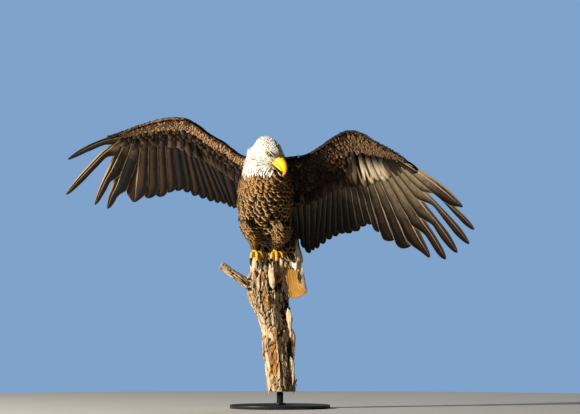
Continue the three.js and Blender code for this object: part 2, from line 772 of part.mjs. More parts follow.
function buildStand() {
  const stand = new THREE.Group();
  const edge = 3;
  const profile = [
    [0, 0],
    [BASE_RADIUS, 0],
    [BASE_RADIUS, BASE_THICKNESS - edge],
    [BASE_RADIUS - edge, BASE_THICKNESS],
    [0, BASE_THICKNESS],
  ].map(([radius, height]) => new THREE.Vector2(radius, height));
  const base = facingOut(new THREE.LatheGeometry(profile, 40).rotateX(Math.PI / 2));
  stand.add(meshOf("stand_base", base, darkSteel));
  const rodLength = PERCH_FOOT - BASE_THICKNESS - 2 * GAP;
  const rod = new THREE.CylinderGeometry(ROD_RADIUS, ROD_RADIUS, rodLength, 24).rotateX(Math.PI / 2);
  const rodMesh = meshOf("stand_rod", rod, darkSteel);
  rodMesh.position.set(0, 0, BASE_THICKNESS + GAP + rodLength / 2);
  stand.add(rodMesh);
  return stand;
}

// ---- assembly ------------------------------------------------------------------------------------

const eagle = new THREE.Group();
eagle.name = "eagle";
const head = buildHead();
eagle.add(head);
const inHead = (geometry) => geometry.applyMatrix4(head.matrixWorld);
const headTools = [skull(GAP), upperBill(GAP), lowerBill(GAP)].map(inHead);
const neckPiece = cutBy(torso(), halfSpace(NECK_CUT, neckUp), ...headTools);
const trunkPiece = cutBy(
  torso(),
  halfSpace(NECK_CUT.clone().addScaledVector(neckUp, -GAP), neckUp.clone().negate()),
  halfSpace(RUMP_CUT, rumpUp),
);
const rumpPiece = cutBy(
  torso(),
  halfSpace(RUMP_CUT.clone().addScaledVector(rumpUp, -GAP), rumpUp.clone().negate()),
);
eagle.add(meshOf("neck", mainBody(neckPiece), headFeathers));
eagle.add(meshOf("trunk", mainBody(trunkPiece), bodyFeathers));
eagle.add(meshOf("rump", mainBody(rumpPiece), bodyFeathers));
eagle.add(buildWing("left", wingPlans.left));
eagle.add(buildWing("right", wingPlans.right));

eagle.add(meshOf("tail", mainBody(cutBy(buildTail(), torso(GAP), perchWood(GAP))), tailFeathers));
eagle.add(buildLeg("left", legs.left));
eagle.add(buildLeg("right", legs.right));

const display = new THREE.Group();
display.add(eagle);
display.add(meshOf("perch_snag", perchWood(), deadWood));
display.add(buildStand());

export default display;
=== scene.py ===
"""A life-size bald eagle on a broken snag, wings half spread and drooping, on a plain display stand.

Metres, +Z up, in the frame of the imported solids. The eagle looks along -Y and its left wing reaches
towards +X. One skin stands for the nodes of flesh. Small feathers are solid vanes set on that skin by
Geometry Nodes, and each flight and tail feather is modelled by itself.
"""

import logging
import math
from collections.abc import Callable, Sequence
from dataclasses import dataclass, field, replace
from enum import Enum
from functools import cached_property

import bmesh
import bpy
import numpy as np
from mathutils import Matrix, Vector, noise
from mathutils.bvhtree import BVHTree


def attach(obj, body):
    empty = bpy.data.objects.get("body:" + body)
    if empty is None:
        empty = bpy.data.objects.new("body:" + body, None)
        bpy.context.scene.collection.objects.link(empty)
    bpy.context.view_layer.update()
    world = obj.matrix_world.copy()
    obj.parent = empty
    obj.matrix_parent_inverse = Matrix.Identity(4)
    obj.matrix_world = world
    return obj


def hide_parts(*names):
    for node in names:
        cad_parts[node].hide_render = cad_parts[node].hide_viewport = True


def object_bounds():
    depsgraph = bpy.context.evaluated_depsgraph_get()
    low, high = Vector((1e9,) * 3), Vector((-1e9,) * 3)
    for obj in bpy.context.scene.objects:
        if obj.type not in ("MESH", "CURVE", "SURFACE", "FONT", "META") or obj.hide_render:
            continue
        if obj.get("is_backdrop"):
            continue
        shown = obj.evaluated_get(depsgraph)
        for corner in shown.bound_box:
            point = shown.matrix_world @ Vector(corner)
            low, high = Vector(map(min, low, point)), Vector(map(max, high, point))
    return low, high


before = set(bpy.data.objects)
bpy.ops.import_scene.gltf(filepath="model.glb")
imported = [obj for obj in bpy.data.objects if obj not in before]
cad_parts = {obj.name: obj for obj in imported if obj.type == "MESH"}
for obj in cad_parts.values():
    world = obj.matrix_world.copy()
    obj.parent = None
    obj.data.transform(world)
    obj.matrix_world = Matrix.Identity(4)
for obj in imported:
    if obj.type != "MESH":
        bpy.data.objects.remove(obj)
SOLID_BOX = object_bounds()
ROOT = "root"
BAKE_MAP = "OFBake"
VANE_MAP = "vane"

Array = np.ndarray
log = logging.getLogger("eagle")


# ---- nodes ----


def paint(code: str) -> tuple[float, float, float, float]:
    """Turns a six-digit sRGB colour code, such as "4a3222", into a linear colour with an alpha of 1."""
    shares = [int(code[i : i + 2], 16) / 255 for i in (0, 2, 4)]
    linear = [c / 12.92 if c <= 0.04045 else ((c + 0.055) / 1.055) ** 2.4 for c in shares]
    return (linear[0], linear[1], linear[2], 1.0)


class Signal:
    """A node's output that takes part in arithmetic."""

    def __init__(self, tree: "Tree", socket: bpy.types.NodeSocket) -> None:
        """Wraps one output socket of a tree."""
        self.tree = tree
        self.socket = socket

    def math(self, operation: str, *values: object) -> "Signal":
        """The output of a Math node for some values."""
        return self.tree.node("ShaderNodeMath", {"operation": operation}, dict(enumerate(values)))

    def __add__(self, other: object) -> "Signal":
        """Adds."""
        return self.math("ADD", self, other)

    __radd__ = __add__

    def __sub__(self, other: object) -> "Signal":
        """Subtracts."""
        return self.math("SUBTRACT", self, other)

    def __rsub__(self, other: object) -> "Signal":
        """Subtracts from a number."""
        return self.math("SUBTRACT", other, self)

    def __mul__(self, other: object) -> "Signal":
        """Multiplies."""
        return self.math("MULTIPLY", self, other)

    __rmul__ = __mul__

    def __truediv__(self, other: object) -> "Signal":
        """Divides."""
        return self.math("DIVIDE", self, other)

    def __pow__(self, other: object) -> "Signal":
        """Raises to a power."""
        return self.math("POWER", self, other)

    def __abs__(self) -> "Signal":
        """Drops the sign."""
        return self.math("ABSOLUTE", self)

    def most(self, other: object) -> "Signal":
        """The larger of two values."""
        return self.math("MAXIMUM", self, other)

    def rise(self, low: float, high: float) -> "Signal":
        """Goes smoothly from 0 at low to 1 at high."""
        ease = {"interpolation_type": "SMOOTHSTEP"}
        return self.tree.node("ShaderNodeMapRange", ease, {0: self, 1: low, 2: high})


class Tree:
    """A node tree that grows node by node."""

    def __init__(self, tree: bpy.types.NodeTree) -> None:
        """Wraps a tree."""
        self.tree = tree

    def node(
        self, kind: str, settings: dict | None = None, inputs: dict | None = None, output: int | str = 0
    ) -> Signal:
        """Adds a node.

        Args:
            kind: The node's type.
            settings: Its properties.
            inputs: Values or signals for its sockets, by name or place.
            output: Which of its outputs is wanted.

        Returns:
            That output.
        """
        made = self.tree.nodes.new(kind)
        for key, value in (settings or {}).items():
            setattr(made, key, value)
        for key, value in (inputs or {}).items():
            self.feed(made.inputs[key], value)
        return Signal(self, made.outputs[output] if made.outputs else None)

    def feed(self, socket: bpy.types.NodeSocket, value: object) -> None:
        """Links a signal to a socket, or sets the socket to a plain value."""
        if isinstance(value, Signal):
            self.tree.links.new(value.socket, socket)
        else:
            socket.default_value = value


class Graph(Tree):
    """The node tree of one material, ending in a Principled shader."""

    def __init__(self, name: str) -> None:
        """Starts an empty material of that name."""
        self.material = bpy.data.materials.new(name)
        self.material.use_nodes = True
        super().__init__(self.material.node_tree)
        self.shader = self.tree.nodes["Principled BSDF"]

    def position(self, scale: Sequence[float] = (1, 1, 1)) -> Signal:
        """The place on the object, stretched by a scale along each axis."""
        place = self.node("ShaderNodeTexCoord", output="Object")
        return self.node("ShaderNodeMapping", None, {"Vector": place, "Scale": scale})

    def attribute(self, name: str, output: str = "Fac") -> Signal:
        """A named value on the mesh."""
        return self.node("ShaderNodeAttribute", {"attribute_name": name}, output=output)

    def parts(self, vector: Signal) -> tuple[Signal, ...]:
        """The three numbers of a vector."""
        split = self.node("ShaderNodeSeparateXYZ", None, {0: vector}).socket.node
        return tuple(Signal(self, socket) for socket in split.outputs)

    def grain(self, vector: Signal, scale: float, detail: float = 2.0) -> Signal:
        """Noise between 0 and 1 at a number of blots for each unit of the vector."""
        return self.node("ShaderNodeTexNoise", None, {"Vector": vector, "Scale": scale, "Detail": detail})

    def vector(self, x: object, y: object, z: object = 0.0) -> Signal:
        """A vector of three numbers."""
        return self.node("ShaderNodeCombineXYZ", None, {0: x, 1: y, 2: z})

    def blend(self, share: object, first: object, second: object) -> Signal:
        """Mixes two colours.

        Args:
            share: How much of the second colour shows.
            first: The colour at 0, as a signal or a code.
            second: The colour at 1, likewise.

        Returns:
            The mixed colour.
        """
        made = self.node("ShaderNodeMix", {"data_type": "RGBA"}, {}, "Result").socket.node
        for identifier, value in (("Factor_Float", share), ("A_Color", first), ("B_Color", second)):
            socket = next(s for s in made.inputs if s.identifier == identifier)
            self.feed(socket, paint(value) if isinstance(value, str) else value)
        return Signal(self, next(s for s in made.outputs if s.identifier == "Result_Color"))

    def bump(self, height: Signal, depth: float, strength: float = 1.0) -> None:
        """Roughens the surface by a height that is depth metres from 0 to 1."""
        inputs = {"Height": height, "Distance": depth, "Strength": strength}
        self.feed(self.shader.inputs["Normal"], self.node("ShaderNodeBump", None, inputs, "Normal"))

    def dress(self, **sockets: object) -> bpy.types.Material:
        """Feeds the shader's sockets, named with _ for a space, and returns the finished material."""
        for name, value in sockets.items():
            self.feed(self.shader.inputs[name.replace("_", " ")], value)
        return self.material


# ---- finishes ----


@dataclass(frozen=True)
class Finish:
    """A named surface, made the first time that it is used."""

    name: str

    @cached_property
    def material(self) -> bpy.types.Material:
        """The surface's material."""
        return self.paint(Graph(self.name))

    def paint(self, graph: Graph) -> bpy.types.Material:
        """Builds the nodes."""
        raise NotImplementedError


@dataclass(frozen=True)
class PlumeFinish(Finish):
    """Small feathers: a shaded middle, painted shade towards the covered root, a rim round the free end, and
    a fine lengthwise grain.
    """

    dark: str
    light: str
    rim: str
    # root: painted shade, the colour of each vane's covered base as if in the shadow of the feathers above
    root: str
    rim_share: float = 0.9
    rim_start: float = 0.8
    rim_width: float = 0.14
    streak: float = 0.35
    roughness: float = 0.62
    rim_least: float = 0.7

    def paint(self, graph: Graph) -> bpy.types.Material:
        """Colours a vane by its own map, its random tint and the tone of its place on the body."""
        across, along, _ = graph.parts(graph.node("ShaderNodeUVMap", {"uv_map": VANE_MAP}))
        chance, tone, seed = graph.parts(graph.attribute("tint", "Vector"))
        edge = abs(2 * across - 1)
        end = ((along - 0.6) / 0.4).most(0)
        uneven = graph.grain(graph.vector(across * 4 + seed * 40, along * 3), 1.0) - 0.5
        free = (edge * edge + end * end) ** 0.5 + uneven * 0.3
        rim = free.rise(self.rim_start, self.rim_start + self.rim_width) * along.rise(0.3, 0.8)
        streaks = graph.grain(graph.vector(edge * 9 - along * 5 + seed * 70, along * 1.5), 1.6)
        shade = (tone + (chance - 0.5) * 0.4 + (streaks - 0.5) * self.streak * 2).rise(-0.05, 1.05)
        # Painted shade: towards its root each vane blends into the root colour, as if shaded by the feathers
        # that lie over it.
        root_shaded = graph.blend(along.rise(0.15, 0.7), self.root, graph.blend(shade, self.dark, self.light))
        pale = tone * (1 - self.rim_least) + self.rim_least
        rimmed = graph.blend(rim * pale * self.rim_share, root_shaded, self.rim)
        shaft = 1 - edge.rise(0.02, 0.07)
        coloured = graph.blend(shaft * tone * 0.35, rimmed, self.rim)
        graph.bump(streaks + shaft, 0.0006, 0.5)
        gloss = {"Roughness": self.roughness, "Sheen_Weight": 0.02, "Specular_IOR_Level": 0.14}
        return graph.dress(Base_Color=coloured, **gloss)


@dataclass(frozen=True)
class FlightFinish(Finish):
    """A flight feather: pale shaft, paler base, barbs, dark end, a worn golden edge, and painted shade along
    its inner edge and under its neighbour.
    """

    vane: str
    slate: str
    # The dark colour is both the dark of the vane's own grain and mottles and its painted shade.
    shadow: str
    base: str
    edge: str
    shaft: str
    end: str
    base_reach: float = 0.5
    mottle: float = 0.0
    outer_edge: float = 0.5
    blot: float = 0.0
    dark_fingers: float = 0.0
    blot_colour: str = "2e1c0e"

    def paint(self, graph: Graph) -> bpy.types.Material:
        """Colours a vane by its own map: across from edge to edge, along from root to tip."""
        blend, reach = graph.blend, self.base_reach
        across, along, _ = graph.parts(graph.node("ShaderNodeUVMap", {"uv_map": VANE_MAP}))
        slate, pale, seed = graph.parts(graph.attribute("tint", "Vector"))
        edge = abs(2 * across - 1)
        barbs = graph.grain(graph.vector((along * 6 - edge * 0.5) * 14 + seed * 50, edge * 1.2), 1.0, 3)
        clouds = graph.grain(graph.vector(across * 2 + seed * 30, along * 7), 1.0, 3)
        stripes = graph.grain(graph.vector(across * 16 + seed * 90, along * 1.5), 1.0, 2)
        # Painted shade: the inner edge darkens as if turned from the light, and the outer vane of a closed
        # feather darkens where its neighbour shades it.
        turned = 1 - across.rise(0.0, 0.34)
        gap_shade = across.rise(0.52, 0.6) * (1 - pale) * 0.5 + turned * (1.05 - pale * 0.1)
        bared = pale.rise(0.75, 0.95) * self.dark_fingers
        shade = (barbs * 0.5 + clouds * 0.5 + stripes * 0.5 - gap_shade + 0.1 - bared).rise(0.2, 1.05)
        vane = blend(shade, self.shadow, blend(slate, self.vane, self.slate))
        basal = (1 - (along + (clouds - 0.5) * 0.4).rise(reach * 0.4, reach * 1.4)) * pale
        based = blend(basal * (0.5 + stripes * 0.5) * (1 - gap_shade).most(0), vane, self.base)
        ended = blend((along + (barbs - 0.5) * 0.2).rise(0.6, 0.98) * 0.6, based, self.end)
        spots = graph.grain(graph.vector(across * 5 + seed * 20, along * 16), 1.3, 3).rise(0.54, 0.64)
        mottled = blend(spots * self.mottle * (0.3 + along * 0.7), ended, self.shadow)
        blot = 0.5 - abs(along - 0.75) * 3.4 - abs(across - 0.22) * 1.8 + (clouds - 0.5) * 0.5
        blotted = blend(blot.rise(0.1, 0.18) * pale.rise(0.9, 0.95) * self.blot, mottled, self.blot_colour)
        outer = across.rise(0.8, 0.9) * (1 - along.rise(0.6, 1.0) * 0.6) * along.rise(0.02, 0.1)
        gilt = blend(outer * pale.rise(0.65, 1.0) * self.outer_edge, blotted, self.edge)
        worn = (edge + (clouds - 0.5) * 0.12).rise(0.95, 0.99) * along.rise(0.1, 0.3)
        edged = blend(worn * (0.12 + pale * 0.4), gilt, self.edge)
        shaft = (1 - edge.rise(0.03, 0.07)) * (1 - along.rise(0.5, 1.0) * 0.6)
        coloured = blend(shaft * (0.08 + pale * 0.9), edged, self.shaft)
        graph.bump(barbs * (1 - shaft), 0.0005, 0.5)
        return graph.dress(Base_Color=coloured, Roughness=0.55, Specular_IOR_Level=0.2)


@dataclass(frozen=True)
class SkinFinish(Finish):
    """The skin under the feathers: white hood, brown body, yellowish bare skin about the bill."""

    hood: str
    body: str
    patches: str
    lore: str

    def paint(self, graph: Graph) -> bpy.types.Material:
        """Colours the skin by the hood and lore values on it."""
        mottle = graph.grain(graph.position(), 90.0, 3)
        body = graph.blend(mottle.rise(0.3, 0.7) * 0.5, self.body, self.patches)
        hooded = graph.blend(graph.attribute("hood").rise(0.3, 0.7), body, self.hood)
        coloured = graph.blend(graph.attribute("lore").rise(0.2, 0.8), hooded, self.lore)
        graph.bump(mottle, 0.001, 0.6)
        return graph.dress(Base_Color=coloured, Roughness=0.8)


@dataclass(frozen=True)
class HornFinish(Finish):
    """The bill: waxy yellow, deeper towards the tip, with a brown nostril and pale growth lines."""

    base: str
    tip: str
    worn: str
    hollow: str

    def paint(self, graph: Graph) -> bpy.types.Material:
        """Colours the horn by its length and nostril values."""
        cloud = graph.grain(graph.position(), 120.0, 3)
        scratches = graph.grain(graph.position((400, 400, 60)), 1.0, 2)
        shade = (graph.attribute("reach") + (cloud - 0.5) * 0.5).rise(0.15, 0.95)
        horn = graph.blend(shade, self.base, self.tip)
        worn = graph.blend(scratches.rise(0.62, 0.8) * 0.35, horn, self.worn)
        coloured = graph.blend(graph.attribute("hollow").rise(0.25, 0.75), worn, self.hollow)
        graph.bump(cloud * 0.6 + scratches * 0.4, 0.0006, 0.45)
        wax = {"Roughness": 0.32 + cloud * 0.15, "Subsurface_Weight": 0.12, "Subsurface_Scale": 0.004}
        return graph.dress(Base_Color=coloured, **wax)


@dataclass(frozen=True)
class ScutesFinish(Finish):
    """Bare scaly skin of the legs: bright yellow plates with darker, dirtier creases."""

    plate: str
    light: str
    crease: str

    def paint(self, graph: Graph) -> bpy.types.Material:
        """Colours the skin by the crease value that its shape carries."""
        scales = {"Vector": graph.position(), "Scale": 330.0}
        cells = graph.node("ShaderNodeTexVoronoi", {"feature": "DISTANCE_TO_EDGE"}, scales)
        cloud = graph.grain(graph.position(), 80.0, 3)
        crease = (graph.attribute("crease") + (1 - cells.rise(0.0, 0.12)) * 0.4).rise(0.2, 1.0)
        plate = graph.blend(cloud.rise(0.3, 0.75), self.plate, self.light)
        graph.bump(cells.rise(0.0, 0.2) - graph.attribute("crease"), 0.0008, 0.6)
        return graph.dress(Base_Color=graph.blend(crease * 0.75, plate, self.crease), Roughness=0.5)


@dataclass(frozen=True)
class GlossFinish(Finish):
    """A smooth dark or plain surface with a fine wear: claws and the stand."""

    colour: str
    wear: str
    roughness: float
    metallic: float = 0.0
    scale: float = 60.0

    def paint(self, graph: Graph) -> bpy.types.Material:
        """Colours the surface with a cloudy wear."""
        cloud = graph.grain(graph.position(), self.scale, 4)
        coloured = graph.blend(cloud.rise(0.45, 0.8) * 0.6, self.colour, self.wear)
        graph.bump(graph.grain(graph.position(), self.scale * 9, 2), 0.0002, 0.3)
        rough = self.roughness + cloud * 0.15
        return graph.dress(Base_Color=coloured, Roughness=rough, Metallic=self.metallic)


@dataclass(frozen=True)
class EyeFinish(Finish):
    """The eye: black pupil, yellow iris with radial threads and a dark rim; the iris is painted darker and
    the pupil wider as painted shade from the brow, and the rim is painted shade under the lids.
    """

    iris: str
    inner: str
    pupil: str
    rim: str

    def paint(self, graph: Graph) -> bpy.types.Material:
        """Colours the eyeball by the angle from its axis."""
        angle = graph.attribute("off_axis")
        threads = graph.grain(graph.position(), 900.0, 2)
        # Painted shade: the iris is darker, deepest near the pupil, the pupil wider and the rim dark, for the
        # shade that the brow and lids cast on the eye.
        iris = graph.blend((angle + (threads - 0.5) * 0.2).rise(0.3, 0.62), self.inner, self.iris)
        pupil = graph.blend(angle.rise(0.36, 0.40), self.pupil, iris)
        rimmed = graph.blend(angle.rise(0.66, 0.76), pupil, self.rim)
        return graph.dress(Base_Color=rimmed, Roughness=0.08, Coat_Weight=1.0, Coat_Roughness=0.02)


@dataclass(frozen=True)
class WoodFinish(Finish):
    """Weathered dead wood: grey-tan plates, orange-brown bare wood and dark rot, with painted shade in its
    crack lines and seams.
    """

    weathered: str
    pale: str
    brown: str
    bare: str
    lines: str
    dark: str

    def paint(self, graph: Graph) -> bpy.types.Material:
        """Colours the wood by coordinates that follow its grain and by its plate, crack and rot values."""
        along = graph.attribute("grain", "Vector")
        plate = graph.attribute("plate")
        fibres = graph.grain(along, 320.0, 3)
        bands = graph.grain(along, 90.0, 4)
        patches = graph.grain(graph.position(), 22.0, 4)
        silver = graph.blend((bands + plate * 0.35).rise(0.4, 0.85), self.weathered, self.pale)
        browned = graph.blend((patches * 0.8 + 0.5 - plate).rise(0.35, 0.75) * 0.85, silver, self.brown)
        bared = graph.blend((patches + graph.attribute("bare") * 0.4).rise(0.6, 0.72), browned, self.bare)
        lined = graph.blend((1 - fibres.rise(0.3, 0.5)) * 0.7, bared, self.lines)
        # Painted shade: the wood goes near black in its crack lines, seams and low spots, and rot darkens it
        # as rotten wood.
        crack = (graph.attribute("crack") + graph.attribute("rot") * 0.9).rise(0.2, 0.85)
        graph.bump(fibres * 0.6 + bands * 0.9, 0.003, 0.9)
        coloured = graph.blend(crack * 0.95, lined, self.dark)
        return graph.dress(Base_Color=coloured, Roughness=0.85, Specular_IOR_Level=0.2)


@dataclass(frozen=True)
class PlainFinish(Finish):
    """A plain pale studio floor, with hardly any cloud."""

    colour: str
    cloud: str

    def paint(self, graph: Graph) -> bpy.types.Material:
        """Colours the floor."""
        coloured = graph.blend(graph.grain(graph.position(), 3.0, 2), self.colour, self.cloud)
        return graph.dress(Base_Color=coloured, Roughness=0.7)


class Finishes:
    """The finishes of the eagle, its perch and its stand."""

    skin = SkinFinish("skin", "efe9da", "2c1d14", "5d4230", "e0c070")
    # The fourth colour of each plume finish is painted shade at the covered roots of its vanes.
    hood = PlumeFinish("hood_feathers", "e0d9c8", "fffdf6", "fffef8", "c4b9a0", 0.6, 0.5, 0.5, 0.4, 0.7)
    breast = PlumeFinish("breast_feathers", "25170d", "855c36", "dcb070", "120b07", 0.95, 0.74, 0.12)
    thigh = PlumeFinish("thigh_feathers", "26180e", "6b4a2d", "cc9f66", "130b07", 0.9, 0.74, 0.12)
    lesser = PlumeFinish(
        "lesser_coverts", "22160f", "a57f5a", "b8936a", "170e0a", 0.5, 0.7, 0.25, 0.4, 0.62, 0.15
    )
    back = PlumeFinish("back_feathers", "241811", "4a3424", "86633f", "1a120c", 0.7)
    covert_left = PlumeFinish(
        "coverts_left", "27150b", "c9b698", "966638", "100906", 0.7, 0.84, 0.12, 0.35, 0.62, 0.3
    )
    covert_right = PlumeFinish("coverts_right", "150d08", "655241", "7d5c3a", "090604", 0.6, 0.86, 0.12)
    vent = PlumeFinish("tail_coverts", "5a3f22", "e6d9bd", "e2cfa4", "3a2819", 0.6, 0.8, 0.15)
    # The third colour of each flight finish is the dark of its grain and mottles and also the painted shade
    # between the feathers.
    flight_left = FlightFinish(
        "flight_feathers_left", "694c36", "2b2826", "0b0806", "d8ba94", "f0d9ae", "fbeccb", "15110e",
        0.5, 0.6, 0.95,
    )
    flight_right = FlightFinish(
        "flight_feathers_right", "4a3222", "262626", "0c0907", "84684a", "d6a664", "e8c88c", "120e0b",
        0.2, 0.25, 0.9, 0.0, 0.4,
    )
    tail = FlightFinish(
        "tail_feathers", "dcab48", "efe6d2", "9a6c2a", "e0bd74", "ecd8a8", "ecd08c", "c48f34",
        0.6, 0.5, 0.1, 0.95,
    )
    bill = HornFinish("bill_horn", "ffcf0a", "f5a300", "f7dc7a", "9a4a06")
    scutes = ScutesFinish("leg_scutes", "f2b30c", "f3c63a", "8a5a0e")
    claw = GlossFinish("claws", "100e0d", "3a352f", 0.22)
    # Painted shade: the lids are near black for the shade round the eye under the brow.
    lid = GlossFinish("eyelids", "15100c", "3a2e1c", 0.5, 0.0, 300.0)
    brow = GlossFinish("brow_skin", "efe8d4", "cfc4a6", 0.7, 0.0, 300.0)
    # The eye's colours are darkened as painted shade from the brow and lids.
    eye = EyeFinish("eyes", "cfae44", "7d5a1c", "050404", "1a120c")
    # The wood's last colour is the painted shade of its crack lines and seams, and the dark of its rot.
    wood = WoodFinish("dead_wood", "a3835f", "dcc49e", "7a5536", "b07a3e", "46331f", "150e09")
    steel = GlossFinish("stand_steel", "2b2d30", "44474b", 0.38, 0.6, 14.0)
    floor = PlainFinish("studio_floor", "b4b3af", "bcbbb7")


# ---- shapes ----


def spline(points: object, at: object) -> Array:
    """A smooth curve through rows of numbers.

    Args:
        points: The rows.
        at: Where to read it, counted in rows.

    Returns:
        One row for each place.
    """
    rows = np.asarray(points, float)
    last = len(rows) - 1
    where = np.clip(np.asarray(at, float), 0, last)
    first = np.minimum(where.astype(int), last - 1)
    t = (where - first)[..., None]
    p0, p1, p2, p3 = (rows[np.clip(first + step, 0, last)] for step in (-1, 0, 1, 2))
    v0, v1 = (p2 - p0) / 2, (p3 - p1) / 2
    return ((2 * p1 - 2 * p2 + v0 + v1) * t + (-3 * p1 + 3 * p2 - 2 * v0 - v1)) * t * t + v0 * t + p1


def unit(vectors: Array) -> Array:
    """The vectors at a length of 1."""
    return vectors / np.maximum(np.linalg.norm(vectors, axis=-1, keepdims=True), 1e-12)


def ease(value: Array, low: float, high: float) -> Array:
    """A smooth step from 0 at low to 1 at high."""
    t = np.clip((value - low) / (high - low), 0, 1)
    return t * t * (3 - 2 * t)


def circle(sides: int) -> Array:
    """Angles all the way round."""
    return np.linspace(0, 2 * math.pi, sides, endpoint=False)


def ring_faces(rings: int, sides: int) -> list[tuple[int, ...]]:
    """The four-sided faces between rings of corners that close round."""
    starts = [(ring * sides, k, (k + 1) % sides) for ring in range(rings) for k in range(sides)]
    return [(s + k, s + n, s + n + sides, s + k + sides) for s, k, n in starts]


def travel(line: Array) -> Array:
    """How far along a line of points each of them is."""
    return np.concatenate([[0], np.cumsum(np.linalg.norm(np.diff(line, axis=0), axis=1))])


def linked(name: str, mesh: object) -> bpy.types.Object:
    """A new object of the scene, with its mesh, lamp or camera."""
    made = bpy.data.objects.new(name, mesh)
    bpy.context.scene.collection.objects.link(made)
    return made


def adopt(piece: bpy.types.Object, slot: str, *nodes: str) -> bpy.types.Object:
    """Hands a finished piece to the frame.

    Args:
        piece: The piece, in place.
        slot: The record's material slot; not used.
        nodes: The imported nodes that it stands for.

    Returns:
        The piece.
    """
    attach(piece, ROOT)
    if nodes:
        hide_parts(*nodes)
    log.info("%s: %d faces", piece.name, len(piece.data.polygons))
    return piece


def column(items: object, key: str, width: int, kind: type = np.float32) -> Array:
    """What a mesh keeps for each of its items, one row for each."""
    values = np.empty(len(items) * width, kind)
    items.foreach_get(key, values)
    return values.reshape(-1, width)


def coordinates(mesh: bpy.types.Mesh) -> tuple[Array, Array]:
    """The places and normals of a mesh's vertices."""
    places, normals = column(mesh.vertices, "co", 3), column(mesh.vertex_normals, "vector", 3)
    return places.astype(float), normals.astype(float)


def move(mesh: bpy.types.Mesh, places: Array) -> None:
    """Puts a mesh's vertices in new places."""
    mesh.vertices.foreach_set("co", places.astype(np.float32).ravel())
    mesh.update()


def corners_of(mesh: bpy.types.Mesh, key: str = "vertices") -> Array:
    """The corners of a mesh's triangles."""
    mesh.calc_loop_triangles()
    return column(mesh.loop_triangles, key, 3, np.int32)


def set_values(mesh: bpy.types.Mesh, **values: Array) -> None:
    """Stores one number or vector for each vertex under each name."""
    for name, value in values.items():
        kind, key = ("FLOAT", "value") if value.ndim == 1 else ("FLOAT_VECTOR", "vector")
        mesh.attributes.new(name, kind, "POINT").data.foreach_set(key, value.astype(np.float32).ravel())


def clothe(mesh: bpy.types.Mesh, finish: Finish) -> None:
    """Shades a mesh smooth and gives it its finish."""
    mesh.polygons.foreach_set("use_smooth", [True] * len(mesh.polygons))
    mesh.materials.append(finish.material)


def smoothed(mesh: bpy.types.Mesh, places: Array, rounds: int) -> Array:
    """Moves vertices halfway towards the mean of their neighbours.

    Args:
        mesh: The mesh that has the edges.
        places: One row for each vertex.
        rounds: How many times.

    Returns:
        The new rows.
    """
    a, b = column(mesh.edges, "vertices", 2, np.int32).T
    count = np.bincount(np.concatenate([a, b]), minlength=len(places))[:, None]
    for _ in range(rounds):
        total = np.zeros_like(places)
        for axis in range(3):
            inward = np.bincount(a, places[b, axis], len(places))
            total[:, axis] = inward + np.bincount(b, places[a, axis], len(places))
        places = places + 0.5 * (total / np.maximum(count, 1) - places)
    return places


@dataclass
class Shape:
    """Vertices, faces and values on the vertices, before they become an object."""

    vertices: Array
    faces: list
    values: dict[str, Array] = field(default_factory=dict)
    maps: dict[str, Array] = field(default_factory=dict)

    @staticmethod
    def joined(shapes: Sequence["Shape"]) -> "Shape":
        """Joins shapes that carry the same values and maps.

        Args:
            shapes: The shapes.

        Returns:
            One shape.
        """
        faces, start = [], 0
        for shape in shapes:
            faces += [tuple(i + start for i in face) for face in shape.faces]
            start += len(shape.vertices)
        values = {k: np.concatenate([s.values[k] for s in shapes]) for k in shapes[0].values}
        maps = {k: np.concatenate([s.maps[k] for s in shapes]) for k in shapes[0].maps}
        return Shape(np.concatenate([s.vertices for s in shapes]), faces, values, maps)

    def object(self, name: str, finish: Finish) -> bpy.types.Object:
        """Makes the object, smooth shaded and facing out.

        Args:
            name: The object's name.
            finish: Its surface.

        Returns:
            The object, linked to the scene.
        """
        mesh = bpy.data.meshes.new(name)
        mesh.from_pydata(self.vertices.tolist(), [], self.faces)
        set_values(mesh, **self.values)
        for key, corners in self.maps.items():
            mesh.uv_layers.new(name=key).data.foreach_set("uv", corners.astype(np.float32).ravel())
        solid = bmesh.new()
        solid.from_mesh(mesh)
        bmesh.ops.recalc_face_normals(solid, faces=solid.faces)
        solid.to_mesh(mesh)
        solid.free()
        clothe(mesh, finish)
        return linked(name, mesh)


Section = Callable[[Array, Array], tuple[Array, Array]]


def round_section(share: Array, angle: Array) -> tuple[Array, Array]:
    """An ellipse, the same all along."""
    return np.cos(angle) + 0 * share, np.sin(angle) + 0 * share


def loft(
    stations: object, across: Sequence[float], rings: int, sides: int, section: Section = round_section
) -> Shape:
    """A closed body through stations.

    Args:
        stations: Rows of x, y, z, half width and half depth.
        across: The direction of the half widths, as near as the line allows.
        rings: Steps along it.
        sides: Steps round it.
        section: Multiplies the half width and half depth by share along and angle round.

    Returns:
        The body, with values "share" and "angle".
    """
    rows = np.asarray(stations, float)
    share = np.linspace(0, 1, rings + 1)
    line = spline(rows, share * (len(rows) - 1))
    tangent = unit(np.gradient(line[:, :3], axis=0))
    side = np.asarray(across, float) - tangent * (tangent @ np.asarray(across, float))[:, None]
    side = unit(side)
    depth = np.cross(tangent, side)
    angle = circle(sides)
    wide, deep = section(share[:, None], angle[None, :])
    grid = (
        line[:, None, :3]
        + side[:, None] * (wide * line[:, None, 3])[..., None]
        + depth[:, None] * (deep * line[:, None, 4])[..., None]
    )
    vertices = np.concatenate([grid.reshape(-1, 3), line[:1, :3], line[-1:, :3]])
    faces = ring_faces(rings, sides)
    first, last, top = len(vertices) - 2, len(vertices) - 1, rings * sides
    for k in range(sides):
        after = (k + 1) % sides
        faces += [(first, after, k), (last, top + k, top + after)]
    shares = np.concatenate([np.repeat(share, sides), [0, 1]])
    angles = np.concatenate([np.tile(angle, rings + 1), [0, 0]])
    return Shape(vertices, faces, {"share": shares, "angle": angles})


